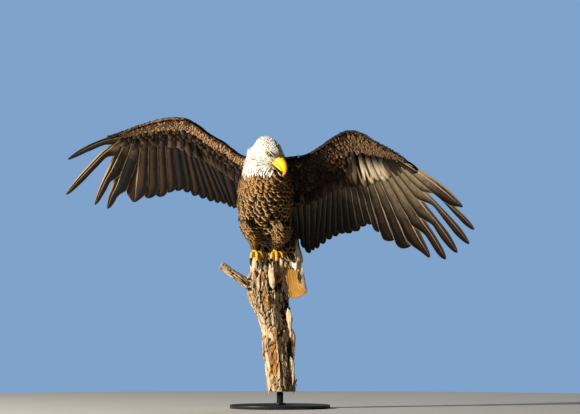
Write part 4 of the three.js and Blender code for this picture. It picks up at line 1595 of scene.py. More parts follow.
@dataclass
class LongFeather:
    """One flight or tail feather as a closed vane with a raised shaft."""

    quill: Quill
    inner: Quill | None
    outer: Quill | None
    look: Look
    seed: int
    rows: int = 54

    inner_columns = (1.0, 0.96, 0.84, 0.68, 0.5, 0.33, 0.18, 0.06, 0.0)
    outer_columns = (0.0, 0.1, 0.3, 0.52, 0.74, 0.92, 1.0)
    inner_slant = 1.1
    outer_slant = 1.5

    def widths(self, share: Array) -> tuple[Array, Array, Array]:
        """Works out the vane's edges.

        Args:
            share: Shares of the feather's length.

        Returns:
            How far the shaft lies outwards of the quill's line, and the inner and outer half widths.
        """
        quill, look = self.quill, self.look
        points = quill.at(share)
        gaps = [other.distance(points) if other else None for other in (self.inner, self.outer)]
        rooms = [0.45 * gap for gap in gaps if gap is not None]
        room = np.min([quill.half_width + 0 * share] + rooms, axis=0)
        starts = (quill.share_of(self.inner.at(self.inner.parting)) if self.inner else 0.0, quill.parting)
        free_in, free_out = (
            ease(share, start - 0.08, start + 0.1) if other else 1 + 0 * share
            for start, other in zip(starts, (self.inner, self.outer))
        )
        shaft = 0.3 * room * free_in * free_out
        closed_in = np.minimum(look.inner_reach * gaps[0], look.inner_limit) if self.inner else room
        closed_out = np.minimum(look.outer_reach * gaps[1], look.outer_limit) if self.outer else room
        inner = closed_in * (1 - free_in) + (room + shaft) * free_in
        outer = closed_out * (1 - free_out) + (room - shaft) * free_out
        chance = np.random.default_rng(self.seed)
        waves = 1 + 0.02 * np.sin(share * chance.uniform(25, 40) + chance.uniform(0, 6))
        past = np.clip(1 - (1 - share) * quill.length / look.tip_length, 0, 1)
        tip = np.sqrt(np.clip(1 - past**look.tip_power, 0, 1))
        base = 0.35 + 0.65 * ease(share, 0.0, 0.1)
        return shaft, inner * tip * base * waves, outer * tip * base * waves

    def stations(self) -> tuple[Array, Array, Array]:
        """Places the rows of barbs.

        Returns:
            The rows' shares of the length, and how much of the inner and outer vane each keeps.
        """
        chance = np.random.default_rng(self.seed)
        base = np.linspace(0, 1, self.rows)
        base = np.sin(base * math.pi / 2) * 0.45 + base * 0.55
        slit = 1.3 / self.quill.length
        rows = [(share, 1.0, 1.0) for share in base]
        for _ in range(self.look.notches):
            place = chance.uniform(*self.look.notch_span)
            keep = 1 - self.look.notch_depth * chance.uniform(0.35, 1.0)
            sides = (keep, 1.0) if chance.uniform() < 0.7 else (1.0, keep)
            rows = [row for row in rows if abs(row[0] - place) > 1.6 * slit]
            rows += [(place - slit, 1.0, 1.0), (place, *sides), (place + slit, 1.0, 1.0)]
        return tuple(np.array(sorted(row for row in rows if 0 <= row[0] <= 1)).T)

    def shape(self, sheet: Sheet, tile: tuple[float, float, float]) -> Shape:
        """Makes the feather.

        Args:
            sheet: Gives places in metres for a plan's x, z and the distance behind its sheet.
            tile: The corner and the size of its square in the OFBake map.

        Returns:
            The closed vane.
        """
        quill, look = self.quill, self.look
        starts, *keeps = self.stations()
        dense = np.linspace(0, 1, 400)
        stem = look.shaft * (1 - 0.78 * starts)
        front, back, shares, acrosses = [], [], [], []
        halves = ((-1, self.inner_columns, self.inner_slant), (1, self.outer_columns, self.outer_slant))
        for (side, fractions, slant), dense_width, keep in zip(halves, self.widths(dense)[1:], keeps):
            shifted = np.maximum.accumulate(dense - slant * dense_width / quill.length)
            ends = np.interp(starts, shifted, dense)
            wide = np.interp(ends, dense, dense_width)
            for f in fractions:
                share = starts + (ends - starts) * f**1.25
                reach = np.minimum(stem, wide) + f * np.maximum(wide * keep - stem, 0)
                point = quill.at(share) + quill.outward * (self.widths(share)[0] + side * reach)[:, None]
                lift = look.level + look.lap * side * reach - look.swell * 4 * f * (1 - f)
                thick = look.vane / 2 * (1 - 0.6 * f)
                front.append(sheet(*point.T, lift - thick))
                back.append(sheet(*point.T, lift + thick))
                shares.append(share)
                acrosses.append(0.5 + side * 0.5 * reach / np.maximum(wide, 0.1))
        ridge = len(self.inner_columns)
        point = quill.at(starts) + quill.outward * self.widths(starts)[0][:, None]
        for columns, proud, share in ((front, -1, 0.75), (back, 1, 0.4)):
            height = look.vane / 2 + stem * share
            columns.insert(ridge, sheet(*point.T, look.level + proud * height))
        shares.insert(ridge, starts)
        acrosses.insert(ridge, np.full(len(starts), 0.5))
        return self.closed(front, back, np.array(shares), np.array(acrosses), tile)

    def closed(self, front: list, back: list, share: Array, across: Array, tile: tuple) -> Shape:
        """Joins the two faces of the vane all round.

        Args:
            front: The front's columns.
            back: The back's columns.
            share: How far along each corner is.
            across: How far across each corner is.
            tile: The corner and the size of its square in the OFBake map.

        Returns:
            The closed vane.
        """
        size = share.size
        grid = np.arange(size).reshape(share.shape)
        a, b, c, d = (part.ravel() for part in (grid[:-1, :-1], grid[1:, :-1], grid[1:, 1:], grid[:-1, 1:]))
        quads = [np.stack([a, b, c, d], 1), np.stack([a, d, c, b], 1) + size]
        for rim in (grid[0], grid[:, -1], grid[-1][::-1], grid[::-1, 0]):
            quads.append(np.stack([rim[:-1], rim[1:], rim[1:] + size, rim[:-1] + size], 1))
        faces = np.concatenate(quads)
        tint = np.array([self.look.slate, self.look.pale, np.random.default_rng(self.seed + 5).uniform()])
        along, aside = np.tile(share.ravel(), 2), np.tile(across.ravel(), 2)
        left, low, width = tile
        half = np.repeat([0.0, 0.5], size)
        bake = np.stack([left + width * (half + 0.48 * aside), low + width * along], 1)
        corners = faces.ravel()
        maps = {VANE_MAP: np.stack([aside, along], 1)[corners], BAKE_MAP: bake[corners]}
        values = {"tint": np.tile(tint, (2 * size, 1))}
        return Shape(np.concatenate(front + back), faces.tolist(), values, maps)


def long_feathers(
    quills: Sequence[Quill], looks: Sequence[Look], sheet: Sheet, seed: int, seed_step: int = 13
) -> Shape:
    """A row of long feathers, each beside the next.

    Args:
        quills: Their lines, from the innermost.
        looks: How each is made.
        sheet: The surface that they lie in.
        seed: The first one's seed of what is random.
        seed_step: The difference between one seed and the next.

    Returns:
        All of them as one shape.
    """
    wide = math.ceil(math.sqrt(len(quills)))
    beside = [None, *quills, None]
    shapes = []
    for i, look in enumerate(looks):
        tile = ((i % wide) / wide, (i // wide) / wide, 0.96 / wide)
        feather = LongFeather(quills[i], beside[i], beside[i + 2], look, seed + seed_step * i)
        shapes.append(feather.shape(sheet, tile))
    return Shape.joined(shapes)


# ---- wings ----


@dataclass(frozen=True)
class CovertRow:
    """One row of coverts: its share back from the leading edge, and its feathers' sizes in metres."""

    share: float
    pitch: float
    length: float
    width: float
    group: str
    tone: float = 0.6
    until: float = 9.0


def lesser_rows(last: float, count: int, tone: float) -> list[CovertRow]:
    """The rows of small coverts from the leading edge to a share of the chord."""
    places = [(last * (i + 0.3) / count, 0.0078, 0.017 + 0.0006 * i) for i in range(count)]
    return [CovertRow(*place, 0.52, "lesser", tone) for place in places]


Points = tuple[tuple[float, float], ...]


@dataclass(frozen=True)
class WingPlan:
    """A wing as seen from ahead, x outwards from the trunk's middle and z up, in millimetres."""

    name: str
    shoulder: tuple[float, float, float]
    lean: float
    sweep: float
    curl: float
    reach: float
    chord: float
    thickness: float
    leading: Points
    coverts: Points
    elbow: float
    wrist: float
    partings: tuple[float, ...]
    half_widths: tuple[float, ...]
    bows: tuple[float, float]
    primary_tips: Points
    secondary_tips: Points
    tertial_tips: Points
    tertials: int
    secondaries: int
    slate: tuple[float, ...]
    pale: tuple[float, ...]
    rows: tuple[CovertRow, ...]
    greater_start: tuple[float, float]
    greater_past: tuple[float, float]
    covert_end: float = 9.0
    last_root: tuple[float, float] | None = None

    camber = 22.0
    rear_edge = 2.6
    half_thickness = (15.0, 14.0, 11.0, 5.0)
    root_share = 0.35
    primaries = 10
    fingers = 6
    inner_half_width = 20.0
    never_parts = 1.2

    @property
    def side(self) -> int:
        """1 for the left wing, -1 for the right."""
        return SIDES[self.name]

    @property
    def end(self) -> float:
        """The place of the hand's end, counted in the plan's points."""
        return len(self.leading) - 1.0

    def depth(self, x: Array, z: Array) -> Array:
        """The y of the wing's middle surface: a leaning plane, arched, and curled forward at the tip.

        Args:
            x: How far out.
            z: How high.

        Returns:
            The y.
        """
        sx, sy, sz = self.shoulder
        back = np.clip((np.interp(x, *zip(*self.leading)) - z) / self.chord, 0, 1)
        arch = self.camber * 4 * back * (1 - back)
        out = np.hypot(x - sx, z - sz) / self.reach
        return sy + self.sweep * (x - sx) + self.lean * (sz - z) + arch - self.curl * out**2

    def sheet(self, x: Array, z: Array, behind: Array | float = 0.0) -> Array:
        """Places in metres for points of the plan."""
        return np.stack([BODY_X + self.side * x, self.depth(x, z) + behind, z], -1) * MM

    def direction(self, along: Array) -> Array:
        """The directions in space of directions in the plan."""
        depth = self.sweep * along[:, 0] - self.lean * along[:, 1]
        return unit(np.stack([self.side * along[:, 0], depth, along[:, 1]], 1))

    @property
    def facing(self) -> Array:
        """The direction square to the middle surface, towards its back."""
        return unit(np.array([-self.side * self.sweep, 1.0, self.lean]))

    def between(self, place: Array, share: Array) -> Array:
        """Points of the plan at shares of the way back from the leading edge."""
        back = share[..., None]
        return spline(self.leading, place) * (1 - back) + spline(self.coverts, place) * back

    def on_coverts(self, place: Array, share: Array, face: int, inset: float) -> Array:
        """Places on the front (-1) or back (1) of the covert-clad part.

        Args:
            place: How far out, counted in the plan's points.
            share: How far back from the leading edge.
            face: Which side.
            inset: How deep under the solid's surface, in millimetres.

        Returns:
            The places, in metres.
        """
        s = np.clip(share, 0, 1)
        knots = (0, self.elbow, self.wrist, self.end)
        half = self.thickness * np.interp(place, knots, self.half_thickness)
        bulge = half * (1.48 * np.sqrt(s) - 0.63 * s - 1.76 * s**2 + 0.93 * s**3) + self.rear_edge * s
        point = self.between(place, share)
        return self.sheet(point[..., 0], point[..., 1], face * np.maximum(bulge - inset, 0.4))

    @cached_property
    def quills(self) -> list[Quill]:
        """The flight feathers' lines, from the innermost tertial to the outermost primary."""
        joints = (0.0, self.elbow, self.wrist, self.end)
        counts = (self.tertials, self.secondaries, self.primaries)
        rows = (self.tertial_tips, self.secondary_tips, self.primary_tips)
        made = []
        for start, stop, count, tips in zip(joints, joints[1:], counts, rows):
            primary = tips is self.primary_tips
            for i in range(count):
                place = start + (stop - start) * (i + 0.5) / count
                root = spline(self.coverts, place) * (1 - self.root_share)
                root = root + spline(self.leading, place) * self.root_share
                tip = spline(tips, i * (len(tips) - 1) / (count - 1))
                bow = self.bows[0] * i / (self.primaries - 1) if primary else 0.0
                if primary and i == count - 1 and self.last_root:
                    root, bow = np.array(self.last_root), self.bows[1]
                width = self.half_widths[i] if primary else self.inner_half_width
                parts = primary and i < len(self.partings)
                made.append(Quill(root, tip, width, self.partings[i] if parts else self.never_parts, bow))
        return made


LEFT_WING = WingPlan(
    name="left",
    shoulder=(66, -14, 1000),
    lean=0.38,
    sweep=-0.04,
    curl=26,
    reach=640,
    chord=380,
    thickness=1,
    leading=(
        (40, 1000), (98, 1006), (154, 1015), (214, 1049), (268, 1086),
        (317, 1107), (368, 1095), (430, 1060), (486, 1032), (548, 996),
    ),
    coverts=(
        (60, 838), (112, 838), (160, 852), (212, 872), (270, 902),
        (318, 926), (372, 948), (428, 962), (484, 972), (534, 978),
    ),
    elbow=3.2,
    wrist=5.4,
    partings=(1.2, 1.2, 1.2, 1.05, 0.74, 0.63, 0.48, 0.42, 0.72),
    half_widths=(30, 30, 30, 30, 26, 23, 21, 19, 18, 18),
    bows=(0.035, 0.035),
    primary_tips=(
        (419, 736), (450, 706), (509, 672), (570, 644), (649, 600),
        (713, 593), (760, 619), (808, 654), (828, 711), (782, 801),
    ),
    secondary_tips=((200, 640), (236, 666), (271, 686), (310, 700), (350, 702), (392, 728)),
    tertial_tips=((102, 688), (131, 678), (149, 642), (172, 621), (186, 632)),
    tertials=5,
    secondaries=8,
    slate=(
        0.9, 0.9, 0.9, 0.9, 0.9, 0.85, 0.9, 0.8, 0.9, 0.75, 0.7, 0.6,
        0.4, 0.2, 0.1, 0.3, 0.45, 0.3, 0.5, 0.35, 0.55, 0.6, 0.2,
    ),
    pale=(0.4, 0.5, 0.6, 0.65, 0.8, 0.8, 0.75, 0.85, 1.0, 1.0),
    rows=(
        *lesser_rows(0.4, 11, 0.55),
        CovertRow(0.42, 0.0125, 0.03, 0.6, "median", 0.12, 5.9),
        CovertRow(0.51, 0.0135, 0.034, 0.58, "median", 0.08, 5.8),
        CovertRow(0.60, 0.0145, 0.037, 0.56, "median", 0.08, 5.7),
        CovertRow(0.69, 0.0155, 0.040, 0.54, "median", 0.06, 5.6),
    ),
    greater_start=(0.8, 0.42),
    greater_past=(35.0, 66.0),
)

RIGHT_WING = WingPlan(
    name="right",
    shoulder=(70, 26, 1010),
    lean=0.95,
    sweep=0.22,
    curl=22,
    reach=560,
    chord=280,
    thickness=1.3,
    leading=(
        (28, 986), (112, 1020), (162, 1059), (232, 1100), (300, 1146),
        (350, 1157), (424, 1151), (530, 1126), (598, 1104), (640, 1091),
    ),
    coverts=(
        (46, 903), (116, 908), (166, 936), (226, 970), (286, 1004),
        (340, 1026), (404, 1042), (470, 1052), (546, 1064), (612, 1076),
    ),
    elbow=3,
    wrist=5,
    partings=(1.2, 1.2, 1.1, 1.05, 1.0, 0.95, 0.58, 0.3, 0.14),
    half_widths=(30, 30, 30, 30, 28, 26, 22, 16, 14, 12),
    bows=(0.018, 0.05),
    last_root=(566, 1090),
    primary_tips=(
        (325, 870), (364, 876), (401, 870), (438, 853), (488, 848),
        (543, 833), (652, 806), (706, 822), (824, 862), (808, 1000),
    ),
    secondary_tips=((150, 812), (180, 827), (215, 830), (250, 843), (295, 856)),
    tertial_tips=((92, 790), (108, 796), (122, 800), (136, 806)),
    tertials=3,
    secondaries=6,
    slate=(
        0.8, 0.9, 0.8, 0.9, 0.55, 0.3, 0.6, 0.8, 0.15, 1.0,
        1.0, 0.2, 0.1, 0.3, 0.1, 1.0, 0.1, 0.15, 0.95,
    ),
    pale=(0.1, 0.1, 0.45, 0.4, 0.45, 0.6, 0.85, 0.95, 1.0, 0.3),
    rows=(
        *lesser_rows(0.27, 8, 0.95),
        CovertRow(0.29, 0.015, 0.034, 0.6, "median", 0.3),
        CovertRow(0.35, 0.018, 0.038, 0.58, "median", 0.06),
        CovertRow(0.41, 0.021, 0.042, 0.58, "median", 0.1),
    ),
    greater_start=(0.5, 0.46),
    greater_past=(24.0, 8.0),
    covert_end=8.1,
)


@dataclass
class Wing:
    """One wing's flight feathers and coverts, front and back."""

    plan: WingPlan
    skin: Skin
    setter: FeatherSetter

    flight_seed = 300
    covert_seed = 700
    torn = {"notches": 6, "notch_depth": 0.85, "notch_span": (0.3, 0.55)}
    worn = {"notches": 1, "notch_depth": 0.2}
    torn_fingers = (6, 7, 8)
    finger_levels = {8: -7.0, 9: -12.0}
    finger_limit = 46.0
    long_taper = (130.0, 2.0)
    short_taper = (60.0, 2.3)

    def look(self, primary: int, slate: float) -> Look:
        """How a flight feather is made.

        Args:
            primary: Its place among the primaries, below 0 for the feathers inside them.
            slate: How grey it is.

        Returns:
            Its look.
        """
        plan = self.plan
        left = plan.side > 0
        if primary < 0:
            return Look(1.5, 0.6, 24.0, 2.4, 0.25 if left else 0.1, slate)
        if primary < plan.primaries - plan.fingers:
            return Look(2.4, 0.6, 40.0, 2.6, plan.pale[primary], slate)
        taper = self.long_taper if left or primary > plan.primaries - plan.fingers + 1 else self.short_taper
        look = Look(3.2, 0.7, *taper, plan.pale[primary], slate, swell=1.5)
        if left:
            return look
        wear = self.torn if primary in self.torn_fingers else self.worn
        level = self.finger_levels.get(primary, 0.0)
        return replace(look, **wear, level=level, inner_limit=self.finger_limit)

    def flight(self) -> bpy.types.Object:
        """Makes the flight feathers.

        Returns:
            The feathers.
        """
        plan = self.plan
        inner = plan.tertials + plan.secondaries
        looks = [self.look(i - inner, slate) for i, slate in enumerate(plan.slate)]
        shape = long_feathers(plan.quills, looks, plan.sheet, self.flight_seed + plan.side * 100)
        finish = Finishes.flight_left if plan.side > 0 else Finishes.flight_right
        return shape.object(f"flight_feathers_{plan.name}", finish)

    def row(self, row: CovertRow, face: int, chance: np.random.Generator) -> Coat:
        """One row of coverts on one side of the wing.

        Args:
            row: The row.
            face: -1 for the front, 1 for the back.
            chance: Where what is random comes from.

        Returns:
            The row's feathers.
        """
        plan = self.plan
        end = min(row.until, plan.covert_end if face < 0 else plan.end)
        span = np.linspace(0, end, 200)
        travelled = travel(plan.on_coverts(span, np.full(len(span), row.share), face, 2.0))
        count = max(2, int(travelled[-1] / row.pitch))
        wanted = (np.arange(count) + chance.uniform(0.2, 0.8, count)) * travelled[-1] / count
        place = np.interp(wanted, travelled, span)
        share = np.clip(row.share + chance.normal(0, 0.012, count), 0, 1)
        roots = plan.on_coverts(place, share, face, 2.4)
        ahead = plan.on_coverts(np.minimum(place + 0.12, plan.end), np.minimum(share + 0.16, 1.2), face, 1.4)
        _, out, root_map = self.skin.nearest(roots)
        out = unit(out + (1.6 * face) * plan.facing)
        flow = unit(ahead - roots)
        flow += (self.quill_flow(roots) - flow) * (0.75 * ease(share, 0.1, 0.6))[:, None]
        narrow = 1 - 0.3 * ease(place, plan.wrist, plan.end)
        long = row.length * chance.uniform(0.88, 1.14, count) * narrow
        lie = lifted(flow, out, 0.11 * chance.uniform(0.7, 1.25, count), chance.normal(0, 0.08, count))
        # Painted shade: on the left wing the coverts of the inner arm, up to the wrist, are darker where the
        # body's shadow falls.
        tone = row.tone - 0.2 * (face > 0) - 0.55 * (plan.side > 0) * (1 - ease(place, 2.6, 5.2))
        return self.dressed(Spots(roots, out, root_map), lie, long, row.width, tone, chance)

    def quill_flow(self, places: Array) -> Array:
        """The direction of the flight feathers beside each place.

        Args:
            places: The places, in metres.

        Returns:
            The directions.
        """
        quills = self.plan.quills
        x = (places[:, 0] / MM - BODY_X) * self.plan.side
        roots = [quill.root[0] for quill in quills]
        along = np.stack([np.interp(x, roots, [quill.along[k] for quill in quills]) for k in (0, 1)], 1)
        return self.plan.direction(along)

    def dressed(
        self, spots: Spots, lie: Array, long: Array, width: Array | float, tone: Array | float,
        chance: np.random.Generator,
    ) -> Coat:
        """A coat with random widths and tones, without the feathers whose roots are inside the trunk.

        Args:
            spots: The roots.
            lie: The feathers' directions.
            long: The feathers' lengths.
            width: Their widths for their lengths.
            tone: How pale they are.
            chance: Where what is random comes from.

        Returns:
            The coat.
        """
        count = len(lie)
        wide = long * width * chance.uniform(0.9, 1.12, count)
        pale = np.clip(tone + chance.normal(0, 0.07, count), 0, 1)
        coat = Coat.grown(spots, lie, wide, long, pale, chance)
        near, out, _ = self.skin.nearest(coat.roots)
        return coat.chosen(((coat.roots - near) * out).sum(1) > -0.006)

    def brink(self, face: int, chance: np.random.Generator) -> Coat:
        """The tiny feathers that wrap the leading edge, pointing to the wing's end.

        Args:
            face: -1 for the front, 1 for the back.
            chance: Where what is random comes from.

        Returns:
            The feathers.
        """
        plan = self.plan
        parts = []
        for low in (0.0, 0.5):
            place = np.arange(0.1 + low * 0.1, plan.end, 0.1)
            place = place + chance.normal(0, 0.02, len(place))
            edge = spline(plan.leading, place)
            inward = unit(spline(plan.coverts, place) - edge)
            roots = plan.sheet(*(edge + inward * 2.5).T, face * (1.0 + 5.0 * low) * plan.thickness)
            out = unit(1.4 * face * low * plan.facing - plan.direction(inward))
            onward = spline(plan.leading, np.minimum(place + 0.05, plan.end))
            step = plan.sheet(*onward.T) - plan.sheet(*edge.T)
            flow = unit(step) + np.array([0, 0.35 * face, 0]) - 0.35 * out
            count = len(roots)
            lie = lifted(flow, out, 0.04 * chance.uniform(0.6, 1.3, count), chance.normal(0, 0.06, count))
            long = 0.017 * chance.uniform(0.85, 1.2, count)
            spots = Spots(roots, out, self.skin.nearest(roots)[2])
            parts.append(self.dressed(spots, lie, long, 0.52, 0.4, chance))
        return Coat.joined(parts)

    def greater(self, face: int, chance: np.random.Generator) -> Coat:
        """The greater coverts: two layers of broad feathers over the roots of the flight feathers.

        Args:
            face: -1 for the front, 1 for the back.
            chance: Where what is random comes from.

        Returns:
            The feathers.
        """
        plan = self.plan
        left = plan.side > 0
        parts = []
        span = np.linspace(0, plan.covert_end if face < 0 else plan.end, 300)
        hand = ease(span, plan.wrist - 0.6, plan.wrist + 0.2)
        pitch = 22.0 + (4.0 if left else 13.0) * hand
        pairs = (plan.greater_start, plan.greater_past)
        start, past = (first * (1 - hand) + last * hand for first, last in pairs)
        for layer in (0, 1):
            share = start + 0.09 * (1 - layer)
            line = plan.between(span, share)
            steps = np.concatenate([[0], np.cumsum(np.diff(travel(line)) / pitch[1:])])
            place = np.interp(np.arange(0.3 + 0.5 * layer, steps[-1], 1.0), steps, span)
            rows = (line[:, 0], share, hand, pitch, past)
            x, share, on_hand, step, beyond = (np.interp(place, span, row) for row in rows)
            count = len(place)
            roots = plan.on_coverts(place, share, face, 3.0 - 2.0 * layer)
            flow = self.quill_flow(roots)
            fall = plan.on_coverts(place, np.clip(share + 0.5, 0, 1.05), face, 0.0) - roots
            flow[:, 1] = fall[:, 1] / np.maximum(-fall[:, 2], 0.01) * np.abs(flow[:, 2])
            out = np.tile(face * plan.facing, (count, 1))
            out = unit(out - unit(flow) * (out * unit(flow)).sum(1, keepdims=True))
            chord = np.linalg.norm(spline(plan.leading, place) - spline(plan.coverts, place), axis=1)
            long = ((1 - share) * chord + beyond + 6.0 * layer) * MM * chance.uniform(0.95, 1.06, count)
            lie = lifted(flow, out, 0.05, chance.normal(0, 0.03, count))
            tone = 0.12 + 0.55 * on_hand - 0.1 * (1 - layer)
            if left:
                tone = 0.08 + 0.85 * ease(x, 345, 372) * (1 - ease(x, 440, 462)) - 0.15 * (1 - layer)
            tone = np.clip(tone * (0.5 if face > 0 else 1.0), 0, 1)
            spots = Spots(roots, out, self.skin.nearest(roots)[2])
            parts.append(self.dressed(spots, lie, long, step * 1.22 * MM / long, tone, chance))
        return Coat.joined(parts)

    def build(self) -> None:
        """Makes and hands over the wing's pieces."""
        plan = self.plan
        nodes = [f"{kind}_{plan.name}" for kind in ("primaries", "secondaries", "tertials")]
        adopt(self.flight(), "flight_feathers", *nodes)
        contour = [Vane(VaneKind.CONTOUR, sway, 0.03, 0.03, 0.012) for sway in (0.05, -0.05, 0.0)]
        covert = [Vane(VaneKind.COVERT, sway, 0.025, 0.045) for sway in (0.04, -0.03, 0.0)]
        large = Finishes.covert_left if plan.side > 0 else Finishes.covert_right
        for face, label, small in ((-1, "front", Finishes.lesser), (1, "back", Finishes.back)):
            chance = np.random.default_rng(self.covert_seed + plan.side * 50 + face)
            groups: dict[str, list[Coat]] = {"lesser": [], "median": []}
            for row in plan.rows:
                groups[row.group].append(self.row(row, face, chance))
            groups["lesser"].append(self.brink(face, chance))
            groups["median"].append(self.greater(face, chance))
            looks = (
                ("lesser", contour, small, "body_feathers"),
                ("median", covert, large, "flight_feathers"),
            )
            for group, vanes, finish, slot in looks:
                name = f"{group}_coverts_{label}_{plan.name}"
                adopt(self.setter.feathers(name, Coat.joined(groups[group]), vanes, finish), slot)


# ---- tail ----


@dataclass
class Tail:
    """The tail's twelve feathers and the coverts over their roots, in millimetres."""

    skin: Skin
    setter: FeatherSetter

    base = np.array([18.0, 112.0, 704.0])
    end = np.array([50.0, 196.0, 438.0])
    count = 12
    root_half = 48.0
    tip_half = 68.0
    half_vane = 18.0
    rounding = 0.1
    arch = 0.0022
    parting = 0.93
    stack = 1.25
    top = 3.6
    over = 2.7
    under = 1.0
    seed = 1200
    covert_seed = 900
    covert_rows = ((-4.0, 75.0), (-22.0, 78.0), (-42.0, 80.0), (-64.0, 80.0))

    def __post_init__(self) -> None:
        """Works out the tail's own directions."""
        self.down = unit(self.end - self.base)
        self.across = unit(LEFTWARD - self.down * (LEFTWARD @ self.down))
        self.back = -np.cross(self.down, self.across)

    def sheet(self, x: Array, z: Array, behind: Array | float = 0.0) -> Array:
        """Places in metres for points of the tail's plan."""
        y = behind - self.arch * x * x
        parts = x[..., None] * self.across + y[..., None] * self.back - z[..., None] * self.down
        return (self.base + parts) * MM

    def quills(self) -> list[Quill]:
        """The feathers' lines from the right to the left."""
        length = float(np.linalg.norm(self.end - self.base))
        made = []
        for across in (2 * i / (self.count - 1) - 1 for i in range(self.count)):
            tip = np.array([across * self.tip_half, -length * (1 - self.rounding * across**2)])
            made.append(Quill(np.array([across * self.root_half, 0.0]), tip, self.half_vane, self.parting))
        return made

    def looks(self) -> list[Look]:
        """How the feathers are made: the middle ones lie on the others, and the last one is white."""
        half = (self.count - 1) / 2
        base = Look(1.7, 0.7, 18.0, 3.4, notches=1, notch_depth=0.2, swell=1.0, lap=0.0)
        made = []
        for i in range(self.count):
            inner, outer = (self.over, self.under) if i > half else (self.under, self.over)
            slate, pale = (1.0, 1.0) if i == self.count - 1 else ((i * 5 % 7) / 24, 0.2)
            level = self.top - self.stack * (abs(i - half) - 0.5)
            reach = {"inner_reach": inner, "outer_reach": outer}
            made.append(replace(base, level=level, slate=slate, pale=pale, **reach))
        return made

    def coverts(self, face: int) -> Coat:
        """The feathers over the tail's root.

        Args:
            face: -1 for its front, 1 for its back.

        Returns:
            The feathers.
        """
        chance = np.random.default_rng(self.covert_seed + face)
        rows = []
        for low, long in self.covert_rows:
            x = np.linspace(-50, 50, 13) + chance.normal(0, 2.5, 13)
            rows += [(a, low + chance.normal(0, 4) - abs(a) * 0.15, long * MM) for a in x]
        x, z, long = np.array(rows).T
        roots = self.sheet(x, z, face * 6.0)
        flow = self.sheet(x * 1.05, z - 50, face * 6.0) - roots
        count = len(roots)
        out = np.tile(self.back * face, (count, 1))
        long = long * chance.uniform(0.85, 1.15, count)
        lie = lifted(flow, out, 0.07 * chance.uniform(0.7, 1.3, count), chance.normal(0, 0.08, count))
        spots = Spots(roots, out, self.skin.nearest(roots)[2])
        coat = Coat.grown(spots, lie, long * 0.24, long, 0.15 + 0.85 * ease(x, 16, 34), chance)
        coat.size[:, 1] *= 0.7
        return coat

    def build(self) -> None:
        """Makes and hands over the tail."""
        shape = long_feathers(self.quills(), self.looks(), self.sheet, self.seed, 1)
        adopt(shape.object("tail_feathers", Finishes.tail), "tail_feathers", "tail")
        vanes = [Vane(VaneKind.CONTOUR, sway) for sway in (0.03, -0.03, 0.0)]
        coat = Coat.joined([self.coverts(face) for face in (-1, 1)])
        adopt(self.setter.feathers("tail_coverts", coat, vanes, Finishes.vent), "tail_feathers")


# ---- face ----


